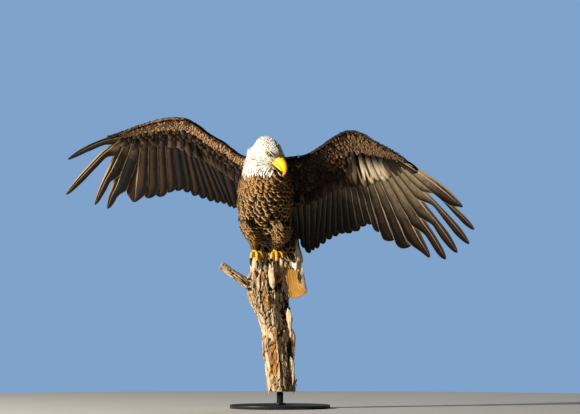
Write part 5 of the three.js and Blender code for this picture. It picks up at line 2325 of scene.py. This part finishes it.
@dataclass
class Face:
    """Bill, gape, eyes, lids and brows, in millimetres of the head's frame."""

    skin: Skin

    upper_stations = (
        (0, -36, -4, 16, 19), (0, -58, -4, 15.5, 20), (0, -80, -5, 12.5, 18),
        (0, -98, -13, 9, 13.5), (0, -108, -28, 5, 8), (0, -108, -43, 0.8, 1.2),
    )
    lower_stations = (
        (0, -34, -22, 13, 6), (0, -62, -23.5, 11, 7), (0, -84, -25.5, 8, 6), (0, -96, -28, 3.5, 2.8),
    )
    brow_stations = (
        (30, -52, 8, 1.0, 0.8), (36, -44, 12, 3.4, 1.8), (41, -34, 14, 4.6, 2.2),
        (42, -23, 15, 3.6, 2.0), (40, -12, 14, 1.0, 0.8),
    )
    gape_line = ((12.5, -62, -18.5), (19, -51, -20.5), (26.5, -41, -21.5), (31, -33, -21))
    gape_sizes = ((0, 0.3, 0.8, 1), (2.0, 2.8, 1.9, 0.6))
    lid_angles = (45, 43, 45, 53, 70, 88, 96, 88, 70)
    lid_radii = (8.9, 9.5, 10.1, 10.4, 10.3, 9.8, 8.4, 7.6, 7.8)
    nostril = (12.5, -64.0, 2.0)
    nostril_size = (6.0, 4.4, 2.6)
    eye_sides = 40

    @staticmethod
    def bill_section(share: Array, angle: Array) -> tuple[Array, Array]:
        """A bill's section: a narrow ridge above, flat sides, sharp cutting edges below.

        Args:
            share: How far along.
            angle: How far round.

        Returns:
            Factors for the half width and the half depth.
        """
        up = np.sin(angle)
        aside = np.cos(angle)
        cere = 1 + 0.035 * (1 - ease(share, 0.33, 0.37))
        wide = aside * (1 - 0.22 * np.maximum(up, 0) ** 1.5) * cere
        edge = np.exp(-(((np.abs(aside) - 0.82) / 0.2) ** 2)) * (up < 0)
        return wide, np.where(up < 0, up * 0.74 - 0.14 * edge, up) * cere

    @staticmethod
    def horn(shape: Shape, reach: Array | float = 0.0, hollow: Array | float = 0.0) -> Shape:
        """A shape in the head's frame as one of the model's, with the values of horn."""
        flat = np.zeros(len(shape.vertices))
        values = {"reach": flat + reach, "hollow": flat + hollow}
        return Shape(HeadFrame.out(shape.vertices), shape.faces, values)

    def upper(self) -> Shape:
        """The upper bill, with its cere and nostrils."""
        shape = loft(self.upper_stations, (1, 0, 0), 72, 40, self.bill_section)
        hollow = np.zeros(len(shape.vertices))
        for side in SIDES.values():
            away = (shape.vertices - np.array(self.nostril) * [side, 1, 1]) / self.nostril_size
            hollow = np.maximum(hollow, 1 - ease(np.linalg.norm(away, axis=1), 0.55, 1.15))
        shape.vertices[:, 0] *= 1 - 0.14 * hollow
        return self.horn(shape, ease(shape.values["share"], 0.3, 0.95), hollow)

    def lower(self) -> Shape:
        """The lower bill."""
        shape = loft(self.lower_stations, (1, 0, 0), 30, 28)
        return self.horn(shape, 0.4 * shape.values["share"])

    def gape(self, side: int) -> Shape:
        """The fleshy yellow corner of the mouth, back to below the eye.

        Args:
            side: 1 for the left, -1 for the right.

        Returns:
            The flange.
        """
        share = np.linspace(0, 1, 9)
        line = spline(self.gape_line, share * (len(self.gape_line) - 1)) * [side, 1, 1]
        on_skin, out, _ = self.skin.nearest(HeadFrame.out(line))
        centre = HeadFrame.into(on_skin + out * 0.0012)
        centre[0] = line[0]
        sizes = np.interp(share, *self.gape_sizes)[:, None]
        return self.horn(loft(np.concatenate([centre, sizes * 0.9, sizes], 1), (side, 0, 0.2), 32, 16))

    def turned(self, profile: Array, side: int) -> Shape:
        """Turns a profile round an eye's axis.

        Args:
            profile: Rows of distance along the axis and radius.
            side: 1 for the left eye, -1 for the right.

        Returns:
            The open shell.
        """
        axis = unit(np.array([side * 0.86, -0.5, 0.04]))
        first = unit(np.cross(axis, [0, 0, 1]))
        angle = circle(self.eye_sides)
        ring = np.cos(angle)[:, None] * first + np.sin(angle)[:, None] * np.cross(axis, first)
        grid = profile[:, None, :1] * axis + profile[:, None, 1:] * ring[None]
        faces = ring_faces(len(profile) - 1, self.eye_sides)
        return Shape(HeadFrame.out((grid + HeadFrame.eye_at(side)).reshape(-1, 3)), faces)

    def eyeball(self, side: int) -> Shape:
        """An eye with a slight bulge over the iris.

        Args:
            side: 1 for the left, -1 for the right.

        Returns:
            The eyeball, with the angle from its axis.
        """
        angle = np.linspace(0.02, math.pi - 0.02, 40)
        radius = HeadFrame.eye_radius * (1 + 0.06 * (1 - ease(angle, 0.2, 0.75)))
        shape = self.turned(np.stack([radius * np.cos(angle), radius * np.sin(angle)], 1), side)
        count = len(shape.vertices)
        shape.faces += [tuple(range(self.eye_sides)), tuple(range(count - self.eye_sides, count))]
        shape.values["off_axis"] = np.repeat(angle, self.eye_sides)
        return shape

    def lid(self, side: int) -> Shape:
        """The rim of the lids round an eye.

        Args:
            side: 1 for the left, -1 for the right.

        Returns:
            The rim.
        """
        angles, radii = np.radians(self.lid_angles), np.array(self.lid_radii)
        profile = np.stack([radii * np.cos(angles), radii * np.sin(angles)], 1)
        shape = self.turned(np.concatenate([profile, profile[:1]]), side)
        count = len(radii) * self.eye_sides
        return Shape(shape.vertices[:count], [tuple(i % count for i in face) for face in shape.faces])

    def brow(self, side: int) -> Shape:
        """The hard ridge that overhangs an eye."""
        stations = np.array(self.brow_stations) * [side, 1, 1, 1, 1]
        shape = loft(stations, (side, 0, -0.2), 30, 18)
        return Shape(HeadFrame.out(shape.vertices), shape.faces)

    def build(self) -> None:
        """Makes and hands over the face's pieces."""
        adopt(self.upper().object("bill_upper_horn", Finishes.bill), "bill_horn", "bill_upper")
        adopt(self.lower().object("bill_lower_horn", Finishes.bill), "bill_horn", "bill_lower")
        gapes, lids, brows = (
            Shape.joined([make(side) for side in SIDES.values()]) for make in (self.gape, self.lid, self.brow)
        )
        adopt(gapes.object("gape_flanges", Finishes.bill), "bill_horn")
        for name, side in SIDES.items():
            adopt(self.eyeball(side).object(f"eyeball_{name}", Finishes.eye), "eye", f"eye_{name}")
        adopt(lids.object("eyelids", Finishes.lid), "head_feathers")
        adopt(brows.object("brows", Finishes.brow), "head_feathers")


# ---- feet ----


@dataclass(frozen=True)
class Toe:
    """One toe: its heading from straight ahead, its reach, how far it drops, and its claw's hook."""

    name: str
    heading: float
    reach: float
    drop: float
    hook: float


@dataclass
class Foot:
    """One bare foot: shank, four scaled toes and four claws, in millimetres."""

    name: str
    ankle: tuple[float, float, float]
    spread: int
    turn: float = 0.1
    height: float = 613.0

    toes = (
        Toe("inner", -0.4, 58, 20, 33),
        Toe("middle", -0.03, 64, 28, 34),
        Toe("outer", 0.36, 59, 18, 32),
        Toe("hind", math.pi - 0.2, 42, 1, 8),
    )
    toe_radii = (9, 8, 7.5, 6)
    claw_radii = (5.6, 5.0, 3.0, 0.5)
    claw_length = 34
    limb_across = (0.3, 0.2, 1)
    shank_stations = ((0, 12, 41, 11, 11), (0, 12, 21, 10.5, 10.5), (0, 6, 8, 11.5, 12), (0, 0, 0, 12, 13))

    def placed(self, shape: Shape) -> Array:
        """The vertices of a shape in the foot's frame, as model places in metres."""
        c, s = math.cos(self.turn), math.sin(self.turn)
        origin = np.array([self.ankle[0], self.ankle[1] - 12, self.height])
        return (shape.vertices @ np.array([[c, -s, 0], [s, c, 0], [0, 0, 1]]).T + origin) * MM

    def scaled(
        self, stations: Sequence, across: Sequence[float], rings: int, plates: float, name: str
    ) -> Shape:
        """A limb clad in plates across its upper side, with soft pads below.

        Args:
            stations: Its line and sizes.
            across: The direction of its half widths.
            rings: Steps along it.
            plates: How many plates it has.
            name: Names the limb's own wobble.

        Returns:
            The limb in metres, with a crease value.
        """
        shift = 0.17 * len(name)

        def creases(share: Array) -> Array:
            """1 in the middle of a crease between two plates."""
            return ease(np.abs(((share * plates + shift) % 1.0) - 0.5) * 2, 0.72, 1.0)

        def section(share: Array, angle: Array) -> tuple[Array, Array]:
            """Pinches the limb in its creases and swells it in its pads."""
            grow = 1 + 0.06 * np.sin(share * math.pi * 5 + shift) - 0.085 * creases(share)
            return np.cos(angle) * grow, np.sin(angle) * grow

        shape = loft(stations, across, rings, 22, section)
        return Shape(self.placed(shape), shape.faces, {"crease": creases(shape.values["share"])})

    def stations(self, toe: Toe, path: Points, radii: Sequence[float], flat: float = 1.0) -> list[tuple]:
        """Stations over a toe's level direction.

        Args:
            toe: The toe.
            path: How far out and how high each is.
            radii: Their half depths.
            flat: Their half widths as shares of the half depths.

        Returns:
            The stations.
        """
        heading = toe.heading * self.spread
        ahead = np.array([math.sin(heading), -math.cos(heading), 0.0])
        return [(*(ahead * out + [0, 0, height]), flat * r, r) for (out, height), r in zip(path, radii)]

    def toe(self, toe: Toe) -> Shape:
        """One toe, from where all four meet to the claw's root."""
        path = ((0, 4), (0.45 * toe.reach, 5), (0.85 * toe.reach, 1), (toe.reach, -toe.drop))
        return self.scaled(self.stations(toe, path, self.toe_radii), self.limb_across, 84, 15, toe.name)

    def claw(self, toe: Toe) -> Shape:
        """One hooked claw.

        Args:
            toe: The toe that it ends.

        Returns:
            The claw.
        """
        reach, drop, hook, long = toe.reach, toe.drop, toe.hook, self.claw_length
        path = (
            (reach - 1, -drop + 3),
            (reach + 9 + 0.1 * (long - hook), -drop - 0.25 * hook),
            (reach + 8 + 0.6 * (long - hook), -drop - 0.65 * hook),
            (reach + long - hook, -drop - hook),
        )
        shape = loft(self.stations(toe, path, self.claw_radii, 0.85), self.limb_across, 30, 18)
        return Shape(self.placed(shape), shape.faces)

    def build(self) -> None:
        """Makes and hands over the foot's pieces."""
        shank = self.scaled(self.shank_stations, tuple(LEFTWARD), 60, 8, "shank")
        skin = Shape.joined([shank] + [self.toe(toe) for toe in self.toes])
        adopt(skin.object(f"foot_scutes_{self.name}", Finishes.scutes), "leg_skin", f"foot_{self.name}")
        claws = Shape.joined([self.claw(toe) for toe in self.toes])
        nodes = [f"talon_{toe.name}_{self.name}" for toe in self.toes]
        adopt(claws.object(f"claws_{self.name}", Finishes.claw), "claw", *nodes)


# ---- perch ----


class Wear(Enum):
    """What has happened to a patch of the wood."""

    ROT = "rot"
    BARE = "bare"


@dataclass(frozen=True)
class Patch:
    """A patch on the wood's front: its middle and half sizes across and up, in millimetres."""

    wear: Wear
    x: float
    z: float
    wide: float
    tall: float


def ragged(places: Array, scale: object, roughness: float, gaps: float) -> Array:
    """Fractal noise at places."""
    return np.array([noise.fractal(Vector(place * scale), roughness, gaps, 3) for place in places])


@dataclass
class Snag:
    """The broken dead stem that the eagle stands on, with its side stub."""

    setter: FeatherSetter
    voxel: float = 0.0021
    stub_root = np.array([-0.070, 0.0, 0.446])
    stub_tip = np.array([-0.238, -0.012, 0.572])
    flake_count = 300
    plate_seed = 5
    flake_seed = 77
    foot_height = 0.0662

    patches = (
        Patch(Wear.ROT, -128, 474, 16, 12),
        Patch(Wear.ROT, -20, 484, 30, 20),
        Patch(Wear.ROT, 24, 392, 20, 60),
        Patch(Wear.ROT, 46, 220, 16, 110),
        Patch(Wear.BARE, -24, 212, 16, 120),
        Patch(Wear.BARE, -118, 452, 22, 12),
        Patch(Wear.BARE, -60, 410, 40, 12),
        Patch(Wear.BARE, -4, 520, 16, 30),
    )
    shard_lines = (
        ((-26, -56, 474, 2, 2), (-30, -60, 500, 13, 6), (-34, -67, 548, 12, 4.5), (-30, -66, 606, 1.5, 1.2)),
        ((-76, -50, 530, 2, 2), (-80, -54, 556, 10, 5), (-82, -57, 586, 8, 4), (-84, -54, 612, 1.2, 1)),
        ((4, -30, 540, 2, 2), (6, -32, 566, 9, 5), (7, -33, 596, 6, 3.5), (6, -30, 622, 1, 1)),
        ((32, -36, 400, 2, 2), (36, -38, 372, 11, 4), (41, -40, 326, 8, 3.5), (43, -38, 282, 1, 1)),
        ((46, -14, 320, 2, 2), (50, -15, 292, 10, 4), (54, -16, 240, 7, 3), (55, -16, 190, 1, 1)),
        ((42, -26, 206, 2, 2), (46, -27, 180, 11, 4), (50, -28, 136, 7, 3), (51, -28, 92, 1, 1)),
    )

    def grain(self, places: Array) -> Array:
        """Coordinates that run ten times slower along the wood's fibres than across them.

        Args:
            places: The places, in metres.

        Returns:
            The coordinates.
        """
        axis = unit(self.stub_tip - self.stub_root)
        reach = (places - self.stub_root) @ axis
        aside = np.linalg.norm(places - self.stub_root - reach[:, None] * axis, axis=1)
        stub = (ease(reach, 0.0, 0.05) * (1 - ease(aside, 0.04, 0.06)))[:, None]
        x, y, z = places.T
        c, s = np.cos(z * 0.9), np.sin(z * 0.9)
        across = unit(np.cross(axis, [0, 1, 0]))
        limb = np.stack([places @ across, places @ np.cross(axis, across), places @ axis * 0.1], 1)
        return np.stack([x * c - y * s, x * s + y * c, z * 0.1], 1) * (1 - stub) + limb * stub

    def wood(self) -> bpy.types.Object:
        """Makes the stem and stub, split into weathered plates, cracked and rotted.

        Returns:
            The wood.
        """
        made = remeshed(["perch_snag"], "snag_wood", self.voxel)
        mesh = made.data
        move(mesh, smoothed(mesh, coordinates(mesh)[0], 5))
        places, normals = coordinates(mesh)
        grain = self.grain(places)
        noise.seed_set(self.plate_seed)
        plate, seam = self.plates(grain)
        rough = ragged(grain, 90, 0.8, 2.1)
        flute = np.array([noise.noise(Vector(g * 34 + 7)) for g in grain])
        deep = np.array([noise.noise(Vector(g * 17 + 31)) for g in grain])
        crack = (1 - ease(np.abs(flute), 0.0, 0.1)) * ease(deep, -0.15, 0.3)
        worn = {wear: np.zeros(len(places)) for wear in Wear}
        edges = ragged(places, 60, 0.8, 2.0) * 0.7 + (places[:, 1] > 0.01) * 2
        x, z = places[:, 0] / MM, places[:, 2] / MM
        for patch in self.patches:
            away = np.hypot((x - patch.x) / patch.wide, (z - patch.z) / patch.tall)
            worn[patch.wear] = np.maximum(worn[patch.wear], 1 - ease(away + edges, 0.6, 1.1))
        depth = 0.0016 * rough + 0.0014 * flute + 0.0062 * (plate - 0.75)
        depth -= 0.0045 * seam + 0.006 * crack + 0.007 * worn[Wear.ROT] + 0.002 * worn[Wear.BARE]
        places = places + normals * (np.clip(depth, -0.014, 0.0035) - 0.0005)[:, None]
        places[:, 2] = np.maximum(places[:, 2], self.foot_height)
        move(mesh, places)
        # Painted shade: crack lines, the seams between plates and the low spots of the roughness take the
        # near-black colour, as if in shade.
        recess_shade = np.clip(crack + 0.9 * seam + ease(-rough, 0.5, 1.0) * 0.4, 0, 1)
        wear = {kind.value: value for kind, value in worn.items()}
        set_values(mesh, grain=grain, plate=plate, crack=recess_shade, **wear)
        clothe(mesh, Finishes.wood)
        return made

    @staticmethod
    def plates(grain: Array) -> tuple[Array, Array]:
        """Splits the surface into long plates.

        Args:
            grain: Coordinates along the fibres.

        Returns:
            A height from 0 to 1 for each place's plate, and 1 in the seams between plates.
        """
        heights, seams = np.zeros(len(grain)), np.zeros(len(grain))
        for i, place in enumerate(grain):
            wobble = noise.noise_vector(Vector(place * 120)) * 0.22
            near, middles = noise.voronoi(Vector(place * [62, 62, 150]) + wobble)
            heights[i] = 0.5 + 0.5 * noise.noise(middles[0] * 5.3)
            seams[i] = near[1] - near[0]
        return heights, 1 - ease(seams, 0.02, 0.11)

    def flakes(self, wood: bpy.types.Object) -> bpy.types.Object:
        """Makes loose flakes and splinters of bark on the stem, thickest on its left edge.

        Args:
            wood: The stem's own piece.

        Returns:
            The flakes.
        """
        chance = np.random.default_rng(self.flake_seed)
        triangles = corners_of(wood.data)
        places, normals = coordinates(wood.data)
        middles, outs = places[triangles].mean(1), unit(normals[triangles].mean(1))
        spread = 0.35 + 1.4 * ease(outs[:, 0], 0.3, 0.8) + 0.8 * ease(middles[:, 2], 0.40, 0.46)
        spread *= (middles[:, 2] > 0.09) * (middles[:, 2] < 0.56) * (middles[:, 0] > -0.15)
        count = self.flake_count
        picked = chance.choice(len(triangles), count, replace=False, p=spread / spread.sum())
        roots, out = middles[picked], outs[picked]
        step = self.grain(roots + [0, 0, 0.01]) - self.grain(roots)
        upright = (step[:, 2:] > 0.0009) * [0.0, 0.0, 1.0]
        flow = upright + unit(self.stub_tip - self.stub_root) * (1 - upright[:, 2:])
        flow *= np.where(chance.uniform(size=count) < 0.6, -1, 1)[:, None]
        lie = lifted(flow, out, 0.07 * chance.uniform(0.3, 1.8, count), chance.normal(0, 0.1, count))
        long = chance.uniform(0.014, 0.036, count)
        size = np.stack([chance.uniform(0.006, 0.013, count), np.full(count, 0.03), long], 1)
        tint = chance.uniform(0.1, 1, count)[:, None] * [1, 0, 0]
        coat = Coat(roots - out * 0.001, lie, out, size, tint, np.zeros((count, 2)))
        vanes = [Vane(VaneKind.FLAKE, sway, 0.02, 0.06, 0.045) for sway in (0.2, -0.15, 0.05)]
        made = self.setter.feathers("bark_flakes", coat, vanes, Finishes.wood)
        mesh = made.data
        for layer in (BAKE_MAP, VANE_MAP):
            mesh.uv_layers.remove(mesh.uv_layers[layer])
        plate = column(mesh.attributes["tint"].data, "vector", 3)[:, 0]
        flat = np.zeros(len(plate))
        set_values(mesh, grain=self.grain(coordinates(mesh)[0]), plate=plate, crack=flat, rot=flat, bare=flat)
        return made

    def shards(self) -> Shape:
        """Makes pale split shards that stand at the broken top and lean on the stem.

        Returns:
            The shards.
        """
        shapes = []
        for line in self.shard_lines:
            shape = loft(line, (1, -0.3, 0), 60, 26)
            places = shape.vertices * MM
            bumps = ragged(places, [230, 230, 26], 0.9, 2.0)
            places = places + unit((places - places.mean(0)) * [1, 1, 0]) * (bumps * 0.003)[:, None]
            flat = np.zeros(len(places))
            values = {"plate": flat + 0.9, "crack": flat, "rot": flat, "bare": flat + 0.1}
            shapes.append(Shape(places, shape.faces, {"grain": self.grain(places), **values}))
        return Shape.joined(shapes)

    def build(self) -> None:
        """Makes and hands over the perch."""
        wood = adopt(self.wood(), "dead_wood", "perch_snag")
        adopt(self.flakes(wood), "dead_wood")
        adopt(self.shards().object("snag_shards", Finishes.wood), "dead_wood")


# ---- stand ----


def lathed(profile: Sequence[tuple[float, float]], sides: int) -> Shape:
    """A solid turned about the vertical axis.

    Args:
        profile: Radii and heights, in millimetres.
        sides: Steps round it.

    Returns:
        The solid, with flat ends.
    """
    angle = circle(sides)
    rows = [np.stack([r * np.cos(angle), r * np.sin(angle), h + 0 * angle], 1) for r, h in profile]
    faces = ring_faces(len(profile) - 1, sides)
    faces += [tuple(range(sides)), tuple(range((len(profile) - 1) * sides, len(profile) * sides))]
    return Shape(np.concatenate(rows) * MM, faces)


@dataclass
class Stand:
    """A plain round steel base and a rod up into the perch, in millimetres."""

    radius: float = 200.0
    thickness: float = 15.0
    edge: float = 3.0
    rod_radius: float = 13.0
    rod_top: float = 65.6
    gap: float = 0.4

    def build(self) -> None:
        """Makes and hands over the stand."""
        top, inner = self.thickness, self.radius - self.edge
        turns = np.linspace(0, math.pi / 2, 7)
        rim = [(inner + self.edge * math.cos(a), top - self.edge * (1 - math.sin(a))) for a in turns]
        plate = lathed([(inner, 0), (self.radius, 0.8), *rim, (40, top), (18, top)], 96)
        adopt(plate.object("stand_plate", Finishes.steel), "stand_steel", "stand_base")
        low, rod = top + self.gap, self.rod_radius
        collar = [(24, low), (24, low + 5), (22.5, low + 6.5), (rod, low + 6.6), (rod, self.rod_top)]
        adopt(lathed(collar, 48).object("stand_stem", Finishes.steel), "stand_steel", "stand_rod")


# ---- studio ----


@dataclass
class Studio:
    """Camera, floor and soft light."""

    distance: float = 12.0
    rise: float = math.radians(2.0)
    target: tuple[float, float, float] = (0.040, 0.0, 0.804)
    sensor: float = 36.0
    focal: float = 3000.0 / 580.0 * 36.0
    far: float = 60.0
    floor_radius: float = 2600.0
    floor_thickness: float = 20.0
    backdrop: str = "7fa3cb"
    cast: str = "a9bcd4"
    cast_strength: float = 0.045
    lit: tuple[float, float, float] = (0, 0, 0.85)
    lights = (
        ("key_light", (-5.9, -2.8, 2.8), 0.7, 980, (1.0, 0.94, 0.84)),
        ("fill_light", (-1.0, -6.0, 1.4), 3.0, 3, (0.95, 0.96, 1.0)),
        ("rim_light", (1.5, 3.4, 3.0), 2.0, 36, (0.9, 0.95, 1.0)),
    )

    def camera(self) -> None:
        """Sets a long lens, looking up a little at the eagle."""
        lens = bpy.data.cameras.new("camera")
        lens.lens = self.focal
        lens.sensor_width = self.sensor
        lens.clip_end = self.far
        camera = linked("camera", lens)
        x, y, z = self.target
        back, down = math.cos(self.rise) * self.distance, math.sin(self.rise) * self.distance
        camera.location = (x, y - back, z - down)
        camera.rotation_euler = (math.pi / 2 + self.rise, 0, 0)
        bpy.context.scene.camera = camera

    def floor(self) -> None:
        """Lays a pale round floor."""
        profile = [(self.floor_radius, -self.floor_thickness), (self.floor_radius, 0.0)]
        floor = lathed(profile, 96).object("studio_floor", Finishes.floor)
        floor.data.polygons.foreach_set("use_smooth", [False] * len(floor.data.polygons))
        floor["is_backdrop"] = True

    def lamps(self) -> None:
        """Hangs square soft lights that face the eagle."""
        for name, place, size, power, colour in self.lights:
            lamp = bpy.data.lights.new(name, "AREA")
            lamp.size = size
            lamp.energy = power
            lamp.color = colour
            made = linked(name, lamp)
            made.location = place
            made.rotation_euler = (Vector(self.lit) - Vector(place)).to_track_quat("-Z", "Y").to_euler()

    def world(self) -> None:
        """Shows a plain backdrop to the camera and casts a faint light from all round."""
        world = bpy.data.worlds.new("studio")
        world.use_nodes = True
        tree = Tree(world.node_tree)
        nodes = world.node_tree.nodes
        nodes["Background"].inputs["Color"].default_value = paint(self.backdrop)
        seen = Signal(tree, nodes["Background"].outputs[0])
        glow = {"Color": paint(self.cast), "Strength": self.cast_strength}
        path = tree.node("ShaderNodeLightPath", output="Is Camera Ray")
        cast = tree.node("ShaderNodeBackground", {}, glow)
        mixed = tree.node("ShaderNodeMixShader", {}, {0: path, 1: cast, 2: seen})
        tree.feed(nodes["World Output"].inputs["Surface"], mixed)
        bpy.context.scene.world = world
        bpy.context.scene.view_settings.view_transform = "Standard"

    def build(self) -> None:
        """Sets up the studio."""
        self.camera()
        self.floor()
        self.lamps()
        self.world()


# ---- assembly ----


def main() -> None:
    """Builds the eagle, its perch, its stand and the studio."""
    logging.basicConfig(level=logging.INFO, format="%(name)s: %(message)s")
    Studio().build()
    skin = Skin()
    adopt(skin.build(), "body_feathers", *FLESH)
    setter = FeatherSetter()
    Plumage(skin, setter).build()
    for plan in (LEFT_WING, RIGHT_WING):
        Wing(plan, skin, setter).build()
    Tail(skin, setter).build()
    Face(skin).build()
    Foot("left", (-16, -2, 634), 1).build()
    Foot("right", (-98, 2, 632), -1).build()
    Snag(setter).build()
    Stand().build()
    boxes = {
        name: [list(map(float, corner)) for corner in box]
        for name, box in (("solids", SOLID_BOX), ("visual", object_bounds()))
    }


if __name__ == "__main__":
    main()
